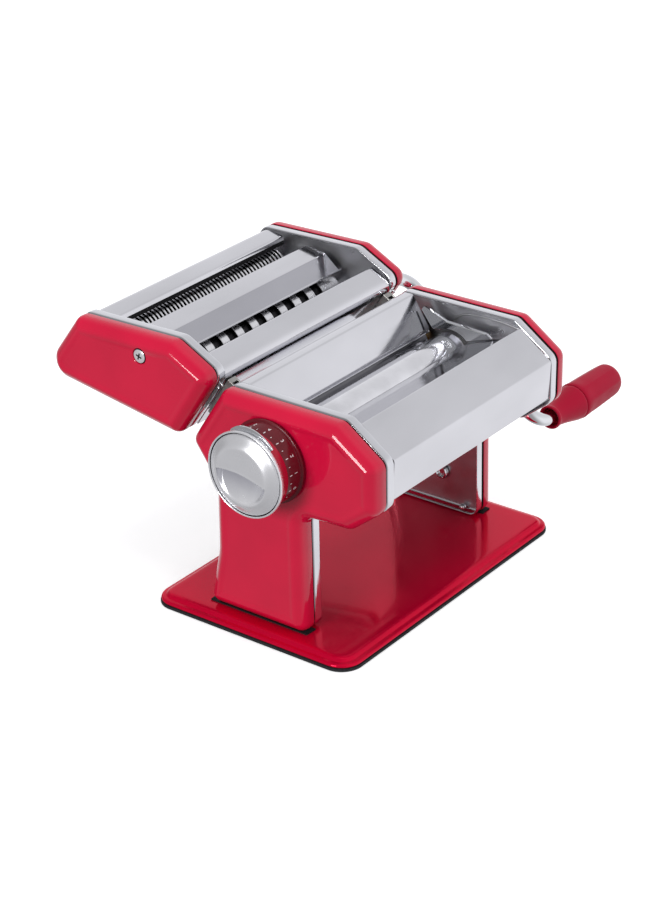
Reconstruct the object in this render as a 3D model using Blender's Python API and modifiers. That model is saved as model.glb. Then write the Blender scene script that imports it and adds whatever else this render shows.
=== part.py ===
"""Hand-cranked pasta roller machine with a lift-off cutter head.

Metres, +Z up.  X runs along the rollers (thickness knob at -X, crank at +X),
-Y is the front of the machine, and the origin is the centre of the underside
of the rubber mat.  Lengths below are in millimetres and go through MM.
"""
import bpy
import bmesh
import math
from mathutils import Vector

MM = 0.001
GAP = 0.3                     # clearance between touching pieces

# ---- base
BASE_X, BASE_Y = 204.4, 136.8
BASE_R = 13.0
MAT_T = 1.8
BASE_TOP = 6.5

# ---- side frames and covers
FRAME_OUT = 81.0              # outer plane of a side frame
FRAME_IN = 75.0               # inner edge of its rim
SHEET_T = 0.8
PLATE_T = 1.5
COVER_DEPTH = 11.2
SHEET_HALF = 74.6

# ---- smooth rollers
ROLLER_R = 13.0
ROLLER_HALF = 73.2
REAR_AX = (13.4, 108.6)       # driven roller, fixed
FRONT_AX = (-12.8, 108.6)     # adjustable roller, on the knob's axis
GAP_TRAVEL = 2.6              # how far the front roller opens

# ---- cutter head
CUT_CD = 20.0                 # centre distance of a cutting pair
CUT_TILT = math.radians(9.0)
WIDE_F = (52.8, 126.2)
WIDE_R = (WIDE_F[0] + CUT_CD * math.cos(CUT_TILT), WIDE_F[1] + CUT_CD * math.sin(CUT_TILT))
NARROW_F = (WIDE_F[0] + 41.2 * math.cos(CUT_TILT), WIDE_F[1] + 41.2 * math.sin(CUT_TILT))
NARROW_R = (NARROW_F[0] + CUT_CD * math.cos(CUT_TILT), NARROW_F[1] + CUT_CD * math.sin(CUT_TILT))
WIDE_PITCH = 13.0             # ring pitch on one wide cutter
CUT_RING_R = 10.4
CUT_CORE_R = 9.0
NARROW_BODY_R = 9.8

# ---- crank
ARM_X = 120.5
ROD_R = 4.0
BEND_R = 11.0
GRIP_AX = (-45.0, 53.3)
GRIP_X0, GRIP_SEAM, GRIP_X1 = 131.5, 157.5, 201.0

# ---- knob
KNOB_R = 24.5
BARREL_R = 22.3
KNOB_FACE = 117.2             # distance of the cap's face from the centre plane

# side view of the machine's body: (y, z, corner radius), front of the top first
BODY = [(-55.8, 139.3, 7), (-80.9, 121.4, 7), (-80.7, 94.6, 9), (-62.0, 79.8, 8),
        (-31.5, 78.6, 6), (-31.8, 6.9, 6), (36.0, 6.9, 6), (28.6, 42.0, 30),
        (27.8, 82.0, 14), (43.5, 104.5, 6), (20.5, 139.2, 6)]
# side view of the cutter head
HEAD = [(53.9, 158.0, 9), (26.2, 143.4, 7), (52.6, 103.4, 6), (150.9, 119.0, 11),
        (122.5, 156.6, 7)]
# the body's back slope, which carries the cutter head's rails
SLOPE_TOP = Vector((20.5, 139.2))
SLOPE_DIR = (Vector((43.5, 104.5)) - SLOPE_TOP).normalized()
SLOPE_OUT = Vector((-SLOPE_DIR.y, SLOPE_DIR.x))


# ------------------------------------------------------------------ helpers
for _ob in list(bpy.data.objects):
    bpy.data.objects.remove(_ob, do_unlink=True)

scene = bpy.context.scene


def collection(name):
    col = bpy.data.collections.get(name)
    if col is None:
        col = bpy.data.collections.new(name)
        scene.collection.children.link(col)
    return col


PARTS = collection("pasta_roller_machine")
CUTTERS = collection("cutters")
JOINTS = collection("pivots")


def material(name, rgb, rough, metal, coat=0.0):
    mat = bpy.data.materials.new(name)
    mat.use_nodes = True
    bsdf = mat.node_tree.nodes["Principled BSDF"]
    bsdf.inputs["Base Color"].default_value = (rgb[0], rgb[1], rgb[2], 1.0)
    bsdf.inputs["Roughness"].default_value = rough
    bsdf.inputs["Metallic"].default_value = metal
    bsdf.inputs["Coat Weight"].default_value = coat
    mat.diffuse_color = (rgb[0], rgb[1], rgb[2], 1.0)
    return mat


RED = (0.50, 0.006, 0.030)
STEEL = (0.80, 0.80, 0.81)
_mat_count = {}


def finish(ob, kind):
    """Give a piece its own material of one of the machine's finishes."""
    table = {
        "enamel": (RED, 0.16, 0.0, 0.6),
        "base_enamel": ((0.36, 0.0, 0.020), 0.10, 0.0, 0.8),
        "chrome": ((0.83, 0.84, 0.86), 0.08, 1.0, 0.0),
        "polished": (STEEL, 0.17, 1.0, 0.0),
        "roller": ((0.84, 0.84, 0.86), 0.12, 1.0, 0.0),
        "steel": ((0.62, 0.62, 0.64), 0.34, 1.0, 0.0),
        "gear": ((0.55, 0.54, 0.52), 0.40, 1.0, 0.0),
        "bronze": ((0.60, 0.42, 0.20), 0.35, 1.0, 0.0),
        "rubber": ((0.015, 0.015, 0.017), 0.75, 0.0, 0.0),
        "grip": ((0.42, 0.004, 0.020), 0.28, 0.0, 0.2),
        "dial": ((0.20, 0.002, 0.012), 0.30, 0.0, 0.3),
        "nylon": ((0.80, 0.78, 0.72), 0.50, 0.0, 0.0),
    }
    rgb, rough, metal, coat = table[kind]
    ob.data.materials.clear()
    ob.data.materials.append(material(ob.name + "_" + kind, rgb, rough, metal, coat))
    ob.data.shade_smooth()
    ob.data.set_sharp_from_angle(angle=math.radians(32))
    return ob


def pivot(name, loc, parent=None):
    ob = bpy.data.objects.new(name, None)
    ob.empty_display_size = 0.01
    JOINTS.objects.link(ob)
    ob["world"] = [c * MM for c in loc]
    place(ob, [c * MM for c in loc], parent)
    return ob


def place(ob, world, parent):
    """Set a world position in metres under an unrotated parent."""
    base = Vector(parent["world"]) if parent is not None else Vector((0, 0, 0))
    ob.location = Vector(world) - base
    if parent is not None:
        ob.parent = parent


def link(ob, parent, world, col=None):
    (col or PARTS).objects.link(ob)
    place(ob, world, parent)
    return ob


def rounded(corners, inset=0.0, step=math.radians(24)):
    """Points of a closed outline with rounded corners, moved inwards by inset."""
    n = len(corners)
    area = sum(corners[i][0] * corners[(i + 1) % n][1] - corners[(i + 1) % n][0] * corners[i][1]
               for i in range(n))
    ccw = 1.0 if area > 0 else -1.0
    lines = []
    for i in range(n):
        a = Vector(corners[i][:2])
        b = Vector(corners[(i + 1) % n][:2])
        d = (b - a).normalized()
        nrm = Vector((-d.y, d.x)) * ccw          # points inwards
        lines.append((a + nrm * inset, d))
    pts = []
    for i in range(n):
        (p, d), (q, e) = lines[i - 1], lines[i]
        cross = d.x * e.y - d.y * e.x
        t = ((q - p).x * e.y - (q - p).y * e.x) / cross
        c = p + d * t
        convex = cross * ccw > 0
        r = corners[i][2] - inset if convex else corners[i][2] + inset
        r = max(r, 0.4)
        turn = math.acos(max(-1.0, min(1.0, d.dot(e))))
        tang = r * math.tan(turn / 2)
        k = max(1, int(math.ceil(turn / step)))
        side = 1.0 if cross > 0 else -1.0
        centre = c - d * tang + Vector((-d.y, d.x)) * side * r
        start = c - d * tang - centre
        for j in range(k + 1):
            ang = side * turn * j / k
            ca, sa = math.cos(ang), math.sin(ang)
            pts.append((centre.x + start.x * ca - start.y * sa,
                        centre.y + start.x * sa + start.y * ca))
    return pts


def ring(cy, cz, r, n):
    return [(cy + r * math.cos(2 * math.pi * i / n), cz + r * math.sin(2 * math.pi * i / n))
            for i in range(n)]


def mesh_of(ob, name):
    """Turn an evaluated curve into a welded mesh object and drop the curve."""
    dep = bpy.context.evaluated_depsgraph_get()
    me = bpy.data.meshes.new_from_object(ob.evaluated_get(dep))
    me.name = name
    bm = bmesh.new()
    bm.from_mesh(me)
    bmesh.ops.remove_doubles(bm, verts=bm.verts, dist=0.000005)
    bmesh.ops.recalc_face_normals(bm, faces=bm.faces)
    bm.to_mesh(me)
    bm.free()
    turn, spot = ob.rotation_euler.copy(), ob.location.copy()
    bpy.data.objects.remove(ob, do_unlink=True)
    new = bpy.data.objects.new(name, me)
    new.rotation_euler = turn
    new.location = spot
    return new


def plate(name, loops, x0, x1, at=(0.0, 0.0), parent=None, col=None, plane="YZ"):
    """A flat piece: closed outlines in the YZ (or XY) plane with a thickness.

    loops hold (y, z) points; loops after the first are holes.  `at` is the
    piece's own origin in that plane.
    """
    cu = bpy.data.curves.new(name, "CURVE")
    cu.dimensions = "2D"
    cu.fill_mode = "BOTH"
    cu.extrude = abs(x1 - x0) * 0.5 * MM
    cu.render_resolution_u = 0
    for loop in loops:
        sp = cu.splines.new("POLY")
        sp.points.add(len(loop) - 1)
        for p, (a, b) in zip(sp.points, loop):
            p.co = ((a - at[0]) * MM, (b - at[1]) * MM, 0.0, 1.0)
        sp.use_cyclic_u = True
    ob = bpy.data.objects.new(name, cu)
    scene.collection.objects.link(ob)
    mid = (x0 + x1) * 0.5 * MM
    if plane == "YZ":
        ob.rotation_euler = (math.pi / 2, 0.0, math.pi / 2)
        world = (mid, at[0] * MM, at[1] * MM)
    else:
        world = (at[0] * MM, at[1] * MM, mid)
    new = mesh_of(ob, name)
    bm = bmesh.new()
    bm.from_mesh(new.data)
    if len(loops) == 1:
        bmesh.ops.dissolve_limit(bm, angle_limit=math.radians(0.2), verts=[], edges=bm.edges)
    bm.to_mesh(new.data)
    bm.free()
    return link(new, parent, world, col)


def sheet(name, pts, x0, x1, thick=SHEET_T, parent=None, bend=2.0, closed=False):
    """Folded sheet metal: an open strip along X with Solidify."""
    path = []
    n = len(pts)
    for i, p in enumerate(pts):
        if i in (0, n - 1):
            path.append(p)
            continue
        a, b, c = Vector(pts[i - 1]), Vector(p), Vector(pts[i + 1])
        d, e = (b - a).normalized(), (c - b).normalized()
        turn = math.acos(max(-1.0, min(1.0, d.dot(e))))
        r = bend[i] if isinstance(bend, (list, tuple)) else bend
        tang = r * math.tan(turn / 2)
        s = 1.0 if d.x * e.y - d.y * e.x > 0 else -1.0
        centre = b - d * tang + Vector((-d.y, d.x)) * s * r
        st = b - d * tang - centre
        k = max(2, int(math.ceil(turn / math.radians(22))))
        for j in range(k + 1):
            ang = s * turn * j / k
            path.append((centre.x + st.x * math.cos(ang) - st.y * math.sin(ang),
                         centre.y + st.x * math.sin(ang) + st.y * math.cos(ang)))
    cu = bpy.data.curves.new(name, "CURVE")
    cu.dimensions = "2D"
    cu.fill_mode = "NONE"
    cu.extrude = abs(x1 - x0) * 0.5 * MM
    cu.render_resolution_u = 0
    sp = cu.splines.new("POLY")
    sp.points.add(len(path) - 1)
    for q, (a, b) in zip(sp.points, path):
        q.co = (a * MM, b * MM, 0.0, 1.0)
    ob = bpy.data.objects.new(name, cu)
    scene.collection.objects.link(ob)
    ob.rotation_euler = (math.pi / 2, 0.0, math.pi / 2)
    new = mesh_of(ob, name)
    sol = new.modifiers.new("Solidify", "SOLIDIFY")
    sol.thickness = thick * MM
    sol.offset = 0.0
    sol.use_even_offset = True
    return link(new, parent, ((x0 + x1) * 0.5 * MM, 0.0, 0.0))


def turned(name, profile, x, at, steps=20, parent=None, col=None, flip=False, closed=False):
    """A turned piece about an axis along X.  profile holds (radius, distance
    along +X) from the +X end down to the -X end; closed for a ring."""
    me = bpy.data.meshes.new(name)
    verts = [(r * MM, 0.0, h * MM) for r, h in profile]
    edges = [(i, i + 1) for i in range(len(verts) - 1)]
    if closed:
        edges.append((len(verts) - 1, 0))
    me.from_pydata(verts, edges, [])
    ob = bpy.data.objects.new(name, me)
    sc = ob.modifiers.new("Screw", "SCREW")
    sc.steps = sc.render_steps = steps
    sc.use_merge_vertices = True
    sc.merge_threshold = 0.00001
    sc.axis = "Z"
    ob.rotation_euler = (0.0, math.pi / 2, 0.0)
    return link(ob, parent, (x * MM, at[0] * MM, at[1] * MM), col)


def bake(ob):
    """Apply a piece's modifiers so that it can be shaded and cut as one mesh."""
    bpy.context.view_layer.update()
    dep = bpy.context.evaluated_depsgraph_get()
    me = bpy.data.meshes.new_from_object(ob.evaluated_get(dep))
    me.name = ob.name
    ob.modifiers.clear()
    ob.data = me
    bm = bmesh.new()
    bm.from_mesh(me)
    bmesh.ops.remove_doubles(bm, verts=bm.verts, dist=0.000005)
    bmesh.ops.recalc_face_normals(bm, faces=bm.faces)
    bm.to_mesh(me)
    bm.free()
    return ob


def boolean(ob, cutter, operation="DIFFERENCE"):
    mod = ob.modifiers.new("Boolean", "BOOLEAN")
    mod.operation = operation
    mod.solver = "EXACT"
    mod.object = cutter
    for c in list(cutter.users_collection):
        c.objects.unlink(cutter)
    CUTTERS.objects.link(cutter)
    cutter.hide_render = True
    cutter.display_type = "WIRE"
    return ob


def gear_outline(cy, cz, cd, n, add, ded, phase, slack=0.30):
    """Outline of a spur gear with involute teeth (25 degree pressure angle),
    for a pair of equal gears at centre distance cd."""
    rp = cd / 2
    pa = math.radians(25)
    rb = rp * math.cos(pa)

    def inv(a):
        return math.tan(a) - a

    def half(r):
        a = math.acos(min(1.0, rb / max(r, rb)))
        return math.pi / (2 * n) - slack / (2 * rp) + inv(pa) - inv(a)

    radii = [rp - ded, rb, rp, rp + add * 0.55, rp + add]
    pts = []
    for i in range(n):
        mid = phase + 2 * math.pi * i / n
        for r in radii:
            pts.append((mid - half(r), r))
        for r in reversed(radii):
            pts.append((mid + half(r), r))
    return [(cy + r * math.cos(a), cz + r * math.sin(a)) for a, r in pts]


def tube_path(name, pts, radius, parent=None, at=(0, 0, 0), res=3, cyclic=False):
    """Round bar along a path of points in millimetres."""
    cu = bpy.data.curves.new(name, "CURVE")
    cu.dimensions = "3D"
    cu.bevel_depth = radius * MM
    cu.bevel_resolution = res
    cu.use_fill_caps = not cyclic
    cu.render_resolution_u = 0
    sp = cu.splines.new("POLY")
    sp.points.add(len(pts) - 1)
    for q, p in zip(sp.points, pts):
        q.co = ((p[0] - at[0]) * MM, (p[1] - at[1]) * MM, (p[2] - at[2]) * MM, 1.0)
    ob = bpy.data.objects.new(name, cu)
    scene.collection.objects.link(ob)
    new = mesh_of(ob, name)
    return link(new, parent, [c * MM for c in at])


# ------------------------------------------------------------------ base
rect = [(-BASE_X / 2, -BASE_Y / 2, BASE_R), (BASE_X / 2, -BASE_Y / 2, BASE_R),
        (BASE_X / 2, BASE_Y / 2, BASE_R), (-BASE_X / 2, BASE_Y / 2, BASE_R)]
mat_ob = plate("base_mat", [rounded(rect, 0.0, math.radians(15))], 0.0, MAT_T, plane="XY")
finish(mat_ob, "rubber")

base = plate("base_plate", [rounded(rect, 0.6, math.radians(15))], MAT_T + GAP, 3.7, plane="XY")
bm = bmesh.new()
bm.from_mesh(base.data)
top = max(bm.faces, key=lambda f: (round(f.calc_center_median().z, 6), f.calc_area()))
for inset, rise in ((0.5, 0.7), (2.2, 0.35), (0.6, 0.45), (1.6, 0.95), (0.8, 0.35)):
    bmesh.ops.inset_region(bm, faces=[top], thickness=inset * MM, depth=rise * MM,
                           use_even_offset=True, use_boundary=True)
bottom = min(bm.faces, key=lambda f: (round(f.calc_center_median().z, 6), -f.calc_area()))
bmesh.ops.inset_region(bm, faces=[bottom], thickness=1.2 * MM, depth=0.0,
                       use_even_offset=True, use_boundary=True)
bmesh.ops.inset_region(bm, faces=[bottom], thickness=4.6 * MM, depth=-2.9 * MM,
                       use_even_offset=True, use_boundary=True)
bm.to_mesh(base.data)
bm.free()
finish(base, "base_enamel")


# ------------------------------------------------------------------ side trays and covers
def tray(name, outline, side, x_out, x_in, holes, parent=None):
    """Pressed side frame: an outer wall with a rim turned inwards."""
    lo, hi = sorted((side * x_in, side * x_out))
    ob = plate(name, [rounded(outline)] + holes, lo, hi, parent=parent)
    c0, c1 = sorted((side * (x_in - 3), side * (x_out - PLATE_T)))
    boolean(ob, plate(name + "_pocket", [rounded(outline, PLATE_T)], c0, c1, parent=parent))
    return ob


def cover(name, outline, side, x_in, depth, holes, parent=None):
    """Moulded side cover: flat face, rolled edge, open towards the frame."""
    wall = 5.0
    ob = plate(name, [rounded(outline)], side * x_in, side * (x_in + wall), parent=parent)
    bm = bmesh.new()
    bm.from_mesh(ob.data)
    # the outline's plane is the local XY plane, its outward side is local z * side
    face = max(bm.faces, key=lambda f: (round(side * f.calc_center_median().z, 6), f.calc_area()))
    for inset, rise in ((0.25, 1.5), (0.75, 1.8), (1.2, 1.4), (1.3, 1.0), (1.3, depth - wall - 5.7)):
        bmesh.ops.inset_region(bm, faces=[face], thickness=inset * MM, depth=rise * MM,
                               use_even_offset=True, use_boundary=True)
    bm.to_mesh(ob.data)
    bm.free()
    a0, a1 = sorted((side * (x_in - 3), side * (x_in + 6.6)))
    boolean(ob, plate(name + "_hollow_low", [rounded(outline, 1.3, math.radians(30))], a0, a1, parent=parent))
    b0, b1 = sorted((side * (x_in + 2), side * (x_in + depth - 1.6)))
    boolean(ob, plate(name + "_hollow_high", [rounded(outline, 4.6, math.radians(30))], b0, b1, parent=parent))
    for i, (cy, cz, r) in enumerate(holes):
        h0, h1 = sorted((side * (x_in + 4), side * (x_in + depth + 4)))
        boolean(ob, plate("%s_hole_%d" % (name, i), [ring(cy, cz, r, 24)], h0, h1, parent=parent))
    return ob


FOOT_SCREWS = ((-22.0,), (26.0,))
SCREW_POS = (-4.0, 28.0)
for side, tag in ((-1, "left"), (1, "right")):
    holes = [ring(REAR_AX[0], REAR_AX[1], 6.6 if side < 0 else 8.5, 24),
             ring(FRONT_AX[0] - GAP_TRAVEL / 2, FRONT_AX[1], 11.2, 28),
             ring(SCREW_POS[0], SCREW_POS[1], 2.6, 14)]
    finish(tray("side_frame_" + tag, BODY, side, FRAME_OUT, FRAME_IN, holes), "polished")
    if side < 0:
        ch = [(FRONT_AX[0], FRONT_AX[1], 5.6)]
    else:
        ch = [(REAR_AX[0], REAR_AX[1], 7.0)]
    finish(cover("side_cover_" + tag, BODY, side, FRAME_OUT + GAP, COVER_DEPTH, ch), "enamel")
    # screw that holds the cover to the leg, head on the inner face of the frame
    prof = [(0.0, 0.0), (2.2, 0.0), (2.2, -7.2), (4.6, -7.2), (4.6, -8.6), (3.4, -9.8), (0.0, -9.8)]
    head = turned("cover_screw_" + tag, prof, FRAME_OUT + 5.4, SCREW_POS, 14)
    if side < 0:
        head.rotation_euler = (0.0, -math.pi / 2, 0.0)
        head.location.x = -(FRAME_OUT + 5.4) * MM
    finish(bake(head), "chrome")
    # shaft bush of the driven roller
    bush_in, bush_out = (4.3, 6.3) if side < 0 else (6.35, 8.2)
    prof = [(bush_out, 3.0), (bush_out, -1.6), (bush_in, -1.6), (bush_in, 3.0)]
    x_b = FRAME_OUT - 2.0 if side > 0 else -(FRAME_OUT - 0.2)
    finish(bake(turned("roller_bush_" + tag, prof, x_b, REAR_AX, 20, closed=True)), "bronze")

# ------------------------------------------------------------------ sheets of the body
finish(bake(sheet("front_sheet", [(-26.3, 118.4), (-53.6, 127.4), (-59.7, 135.3), (-80.2, 119.9), (-79.1, 97.3),
                                  (-75.6, 95.2)],
                  -SHEET_HALF, SHEET_HALF, bend=[0, 1.4, 1.4, 2.4, 1.4, 0])), "polished")
finish(bake(sheet("rear_sheet", [(41.2, 104.6), (19.6, 138.2), (13.6, 138.3), (-0.5, 116.0), (1.8, 118.0)],
                  -SHEET_HALF, SHEET_HALF, bend=[0, 1.6, 1.6, 0.9, 0])), "polished")

# T rails that carry the cutter head, on the back slope near each frame
def on_slope(name, section, s0, s1, x, parent=None):
    """A bar running down the back slope: section holds (x, height above the
    slope), s0 and s1 are distances from the slope's top."""
    ob = plate(name, [section], -(s1 - s0) / 2, (s1 - s0) / 2, parent=None, plane="XY")
    c = SLOPE_TOP + SLOPE_DIR * (s0 + s1) / 2
    ob.rotation_euler = (math.atan2(SLOPE_OUT.y, SLOPE_OUT.x), 0.0, 0.0)
    place(ob, (x * MM, c.x * MM, c.y * MM), parent)
    return ob


RAIL_X = 70.8
for side, tag in ((-1, "left"), (1, "right")):
    tee = [(-0.8, -0.5), (0.8, -0.5), (0.8, 1.8), (1.9, 1.8), (1.9, 2.9), (-1.9, 2.9), (-1.9, 1.8), (-0.8, 1.8)]
    finish(on_slope("rail_" + tag, tee, 8.6, 36.6, side * RAIL_X), "chrome")

# scrapers under the smooth rollers
finish(bake(sheet("scraper_front", [(-10.2, 94.4), (-25.0, 86.6), (-30.6, 86.6)], -72.0, 72.0, 0.8)), "steel")
finish(bake(sheet("scraper_rear", [(10.8, 94.4), (20.6, 87.6), (25.4, 87.6)], -72.0, 72.0, 0.8)), "steel")

# rods that tie the two frames together
for tag, at in (("front", (-67.0, 108.0)), ("rear", (30.0, 104.5))):
    r = 3.0
    prof = [(0.0, 79.2), (r, 79.2), (r, -79.2), (0.0, -79.2)]
    finish(bake(turned("tie_rod_" + tag, prof, 0.0, at, 12)), "steel")

# hopper end guides beside the nip
def guide_outline():
    pts = [(-1.6, 121.4)]
    for k in range(6):
        a = math.radians(60 + 15.0 * k)
        pts.append((FRONT_AX[0] - GAP_TRAVEL / 2 + 15.2 * math.cos(a), FRONT_AX[1] + 15.2 * math.sin(a)))
    pts += [(-27.4, 119.9), (-41.5, 124.5), (-38.6, 127.0), (-11.4, 128.2), (4.4, 134.0), (6.2, 131.6)]
    return pts
for side, tag in ((-1, "left"), (1, "right")):
    g0, g1 = sorted((side * 72.6, side * 74.4))
    finish(plate("end_guide_" + tag, [guide_outline()], g0, g1), "chrome")

# foot screws through the frames' feet into the base
for tag, x, y in (("left_front", -77.2, -20.0), ("left_rear", -77.2, 24.0),
                  ("right_front", 77.2, -20.0), ("right_rear", 77.2, 24.0)):
    me = bpy.data.meshes.new("foot_screw_" + tag)
    bm = bmesh.new()
    bmesh.ops.create_cone(bm, cap_ends=True, segments=6, radius1=2.0 * MM, radius2=2.0 * MM, depth=2.6 * MM)
    bm.to_mesh(me)
    bm.free()
    ob = bpy.data.objects.new("foot_screw_" + tag, me)
    link(ob, None, (x * MM, y * MM, 10.1 * MM))
    finish(ob, "steel")

# ------------------------------------------------------------------ smooth rollers
def roller_profile(x_left, x_right, r_shaft, extra=None):
    return [(0.0, x_right), (r_shaft, x_right), (r_shaft, ROLLER_HALF), (ROLLER_R - 0.5, ROLLER_HALF),
            (ROLLER_R, ROLLER_HALF - 0.5), (ROLLER_R, -ROLLER_HALF + 0.5), (ROLLER_R - 0.5, -ROLLER_HALF),
            (r_shaft, -ROLLER_HALF), (r_shaft, x_left), (0.0, x_left)]

piv_rear = pivot("pivot_roller_rear", (0, REAR_AX[0], REAR_AX[1]))
prof = [(0.0, 77.0), (4.25, 77.0), (4.25, 92.3), (6.1, 92.3), (6.1, ROLLER_HALF)] + \
    roller_profile(-80.0, 0, 4.0)[3:]
finish(bake(turned("roller_rear", prof, 0.0, REAR_AX, 24, parent=piv_rear)), "roller")

carrier = pivot("slide_front_roller", (0, FRONT_AX[0], FRONT_AX[1]))
finish(bake(turned("roller_front", roller_profile(-79.8, 89.4, 4.0), 0.0, FRONT_AX, 24, parent=carrier)), "roller")
for side, tag in ((-1, "left"), (1, "right")):
    prof = [(9.2, 3.2), (9.2, -3.2), (4.25, -3.2), (4.25, 3.2)]
    finish(bake(turned("eccentric_bush_" + tag, prof, side * 77.6, FRONT_AX, 20, parent=carrier, closed=True)), "bronze")

ROLL_CD = REAR_AX[0] - FRONT_AX[0]
GEAR_N = 12
for name, at, phase, par, bore in (("gear_rear", REAR_AX, math.pi, piv_rear, 6.3),
                                   ("gear_front", FRONT_AX, math.pi / GEAR_N, carrier, 4.2)):
    loops = [gear_outline(at[0], at[1], ROLL_CD, GEAR_N, 2.0, 2.6, phase, 0.24), ring(at[0], at[1], bore, 20)]
    finish(plate(name, loops, 82.4, 87.4, at=at, parent=par), "gear")

# ------------------------------------------------------------------ thickness knob
knob_axis = pivot("pivot_knob", (-FRAME_OUT, FRONT_AX[0], FRONT_AX[1]))
# spindle with its cam plate inside the cover
prof = [(0.0, -82.6), (13.5, -82.6), (13.5, -85.6), (5.2, -85.6), (5.2, -94.6), (4.0, -94.6), (4.0, -109.2), (0.0, -109.2)]
finish(bake(turned("knob_spindle", prof, 0.0, FRONT_AX, 24, parent=knob_axis)), "steel")
# dial barrel, hollow towards the cover
x1 = -(FRAME_OUT + GAP + COVER_DEPTH + 0.5)
prof = [(BARREL_R - 0.6, x1), (BARREL_R, x1 - 0.6), (BARREL_R, -108.6), (BARREL_R - 1.0, -109.8),
        (4.3, -109.8), (4.3, -108.0), (9.5, -108.0), (9.5, x1)]
finish(bake(turned("knob_dial", prof, 0.0, FRONT_AX, 30, parent=knob_axis, closed=True)), "dial")
# chrome cap
prof = [(0.0, -111.2), (KNOB_R - 1.0, -111.2), (KNOB_R, -112.0), (KNOB_R, -114.0), (KNOB_R - 0.9, -115.6),
        (KNOB_R - 6.4, -115.0), (KNOB_R - 7.4, -KNOB_FACE), (0.0, -KNOB_FACE)]
finish(bake(turned("knob_cap", prof, 0.0, FRONT_AX, 30, parent=knob_axis)), "chrome")
# pointer between the dial and the cap, reaching past the rim
POINTER = ((58, 22.0), (66, 25.0), (78, 26.5), (90, 26.7), (102, 26.6), (114, 26.2), (124, 25.7), (133, 25.2), (134, 17.0))
pts = [(FRONT_AX[0] + 10.0 * math.cos(math.radians(a)), FRONT_AX[1] + 10.0 * math.sin(math.radians(a)))
       for a in range(150, 409, 12)]
pts += [(FRONT_AX[0] + r * math.cos(math.radians(a)), FRONT_AX[1] + r * math.sin(math.radians(a)))
        for a, r in POINTER]
finish(plate("knob_pointer", [pts], -110.1, -110.9, at=FRONT_AX, parent=knob_axis), "chrome")
# return spring round the spindle
pts = []
turns, x0, x1s = 6, -94.9, -107.2
for k in range(turns * 8 + 1):
    a = 2 * math.pi * k / 8
    pts.append((x0 + (x1s - x0) * k / (turns * 8.0), FRONT_AX[0] + 7.3 * math.cos(a), FRONT_AX[1] + 7.3 * math.sin(a)))
finish(tube_path("knob_spring", pts, 0.7, parent=knob_axis, at=(-FRAME_OUT, FRONT_AX[0], FRONT_AX[1]), res=1), "steel")

# ------------------------------------------------------------------ cutter head
HEAD_IN, HEAD_OUT = 75.2, 81.2
head = pivot("slide_cutter_head", (0.0, SLOPE_TOP.x, SLOPE_TOP.y))
for side, tag in ((-1, "left"), (1, "right")):
    # C hook that wraps the rail's head, under the cutter head's front sheet
    cee = [(-3.1, 0.5), (-1.1, 0.5), (-1.1, 1.5), (-2.2, 1.5), (-2.2, 3.2), (2.2, 3.2), (2.2, 1.5), (1.1, 1.5),
           (1.1, 0.5), (3.1, 0.5), (3.1, 6.0), (-3.1, 6.0)]
    finish(on_slope("rail_hook_" + tag, cee, 6.6, 34.0, side * RAIL_X, parent=head), "chrome")
for side, tag in ((-1, "left"), (1, "right")):
    shaft_r = 4.3 if side < 0 else 6.3
    holes = [ring(p[0], p[1], shaft_r if p in (WIDE_F, NARROW_F) else 4.3, 20)
             for p in (WIDE_F, WIDE_R, NARROW_F, NARROW_R)]
    finish(tray("cutter_frame_" + tag, HEAD, side, HEAD_OUT, HEAD_IN, holes, parent=head), "polished")
    ch = [] if side < 0 else [(WIDE_F[0], WIDE_F[1], 6.8), (NARROW_F[0], NARROW_F[1], 6.8)]
    ch.append((75.7, 145.4, 4.5))
    finish(cover("cutter_cover_" + tag, HEAD, side, HEAD_OUT + GAP, COVER_DEPTH, ch, parent=head), "enamel")
    # countersunk screw in the cover's face
    d = HEAD_OUT + GAP + COVER_DEPTH
    prof = [(0.0, 0.2), (3.2, 0.2), (4.1, -0.5), (4.1, -1.2), (1.8, -1.6), (1.8, -9.6), (0.0, -9.6)]
    sc = turned("cutter_screw_" + tag, prof, side * d, (75.7, 145.4), 20, parent=head)
    if side < 0:
        sc.rotation_euler = (0.0, -math.pi / 2, 0.0)
    finish(bake(sc), "chrome")

finish(bake(sheet("cutter_rear_sheet", [(107.4, 148.6), (108.1, 153.5), (120.5, 155.3), (148.4, 119.9)],
                  -SHEET_HALF, SHEET_HALF, parent=head, bend=[0, 1.2, 4.0, 0])), "polished")
finish(bake(sheet("cutter_roof", [(91.3, 147.4), (91.0, 151.3), (76.7, 149.5), (66.8, 141.2), (64.6, 142.6)],
                  -SHEET_HALF, SHEET_HALF, parent=head, bend=[0, 1.0, 1.4, 0.8, 0])), "polished")
finish(bake(sheet("cutter_front_sheet", [(45.9, 143.4), (43.0, 148.7), (27.6, 140.8), (35.0, 129.6), (51.6, 105.0)],
                  -SHEET_HALF, SHEET_HALF, parent=head, bend=[0, 1.2, 6.5, 3.0, 0])), "polished")
finish(bake(turned("cutter_tie_rod", [(0.0, 79.2), (3.0, 79.2), (3.0, -79.2), (0.0, -79.2)], 0.0, (132.0, 128.0), 12,
                   parent=head)), "steel")
# comb bars below each pair
for tag, (cy, cz) in (("wide", WIDE_F), ("narrow", NARROW_F)):
    finish(bake(sheet("cutter_comb_" + tag,
                      [(cy + 3.0, cz - 12.2), (cy + 2.4, cz - 16.0), (cy + 5.8, cz - 16.8)],
                      -72.0, 72.0, 1.0, parent=head, bend=1.0)), "nylon")


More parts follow.
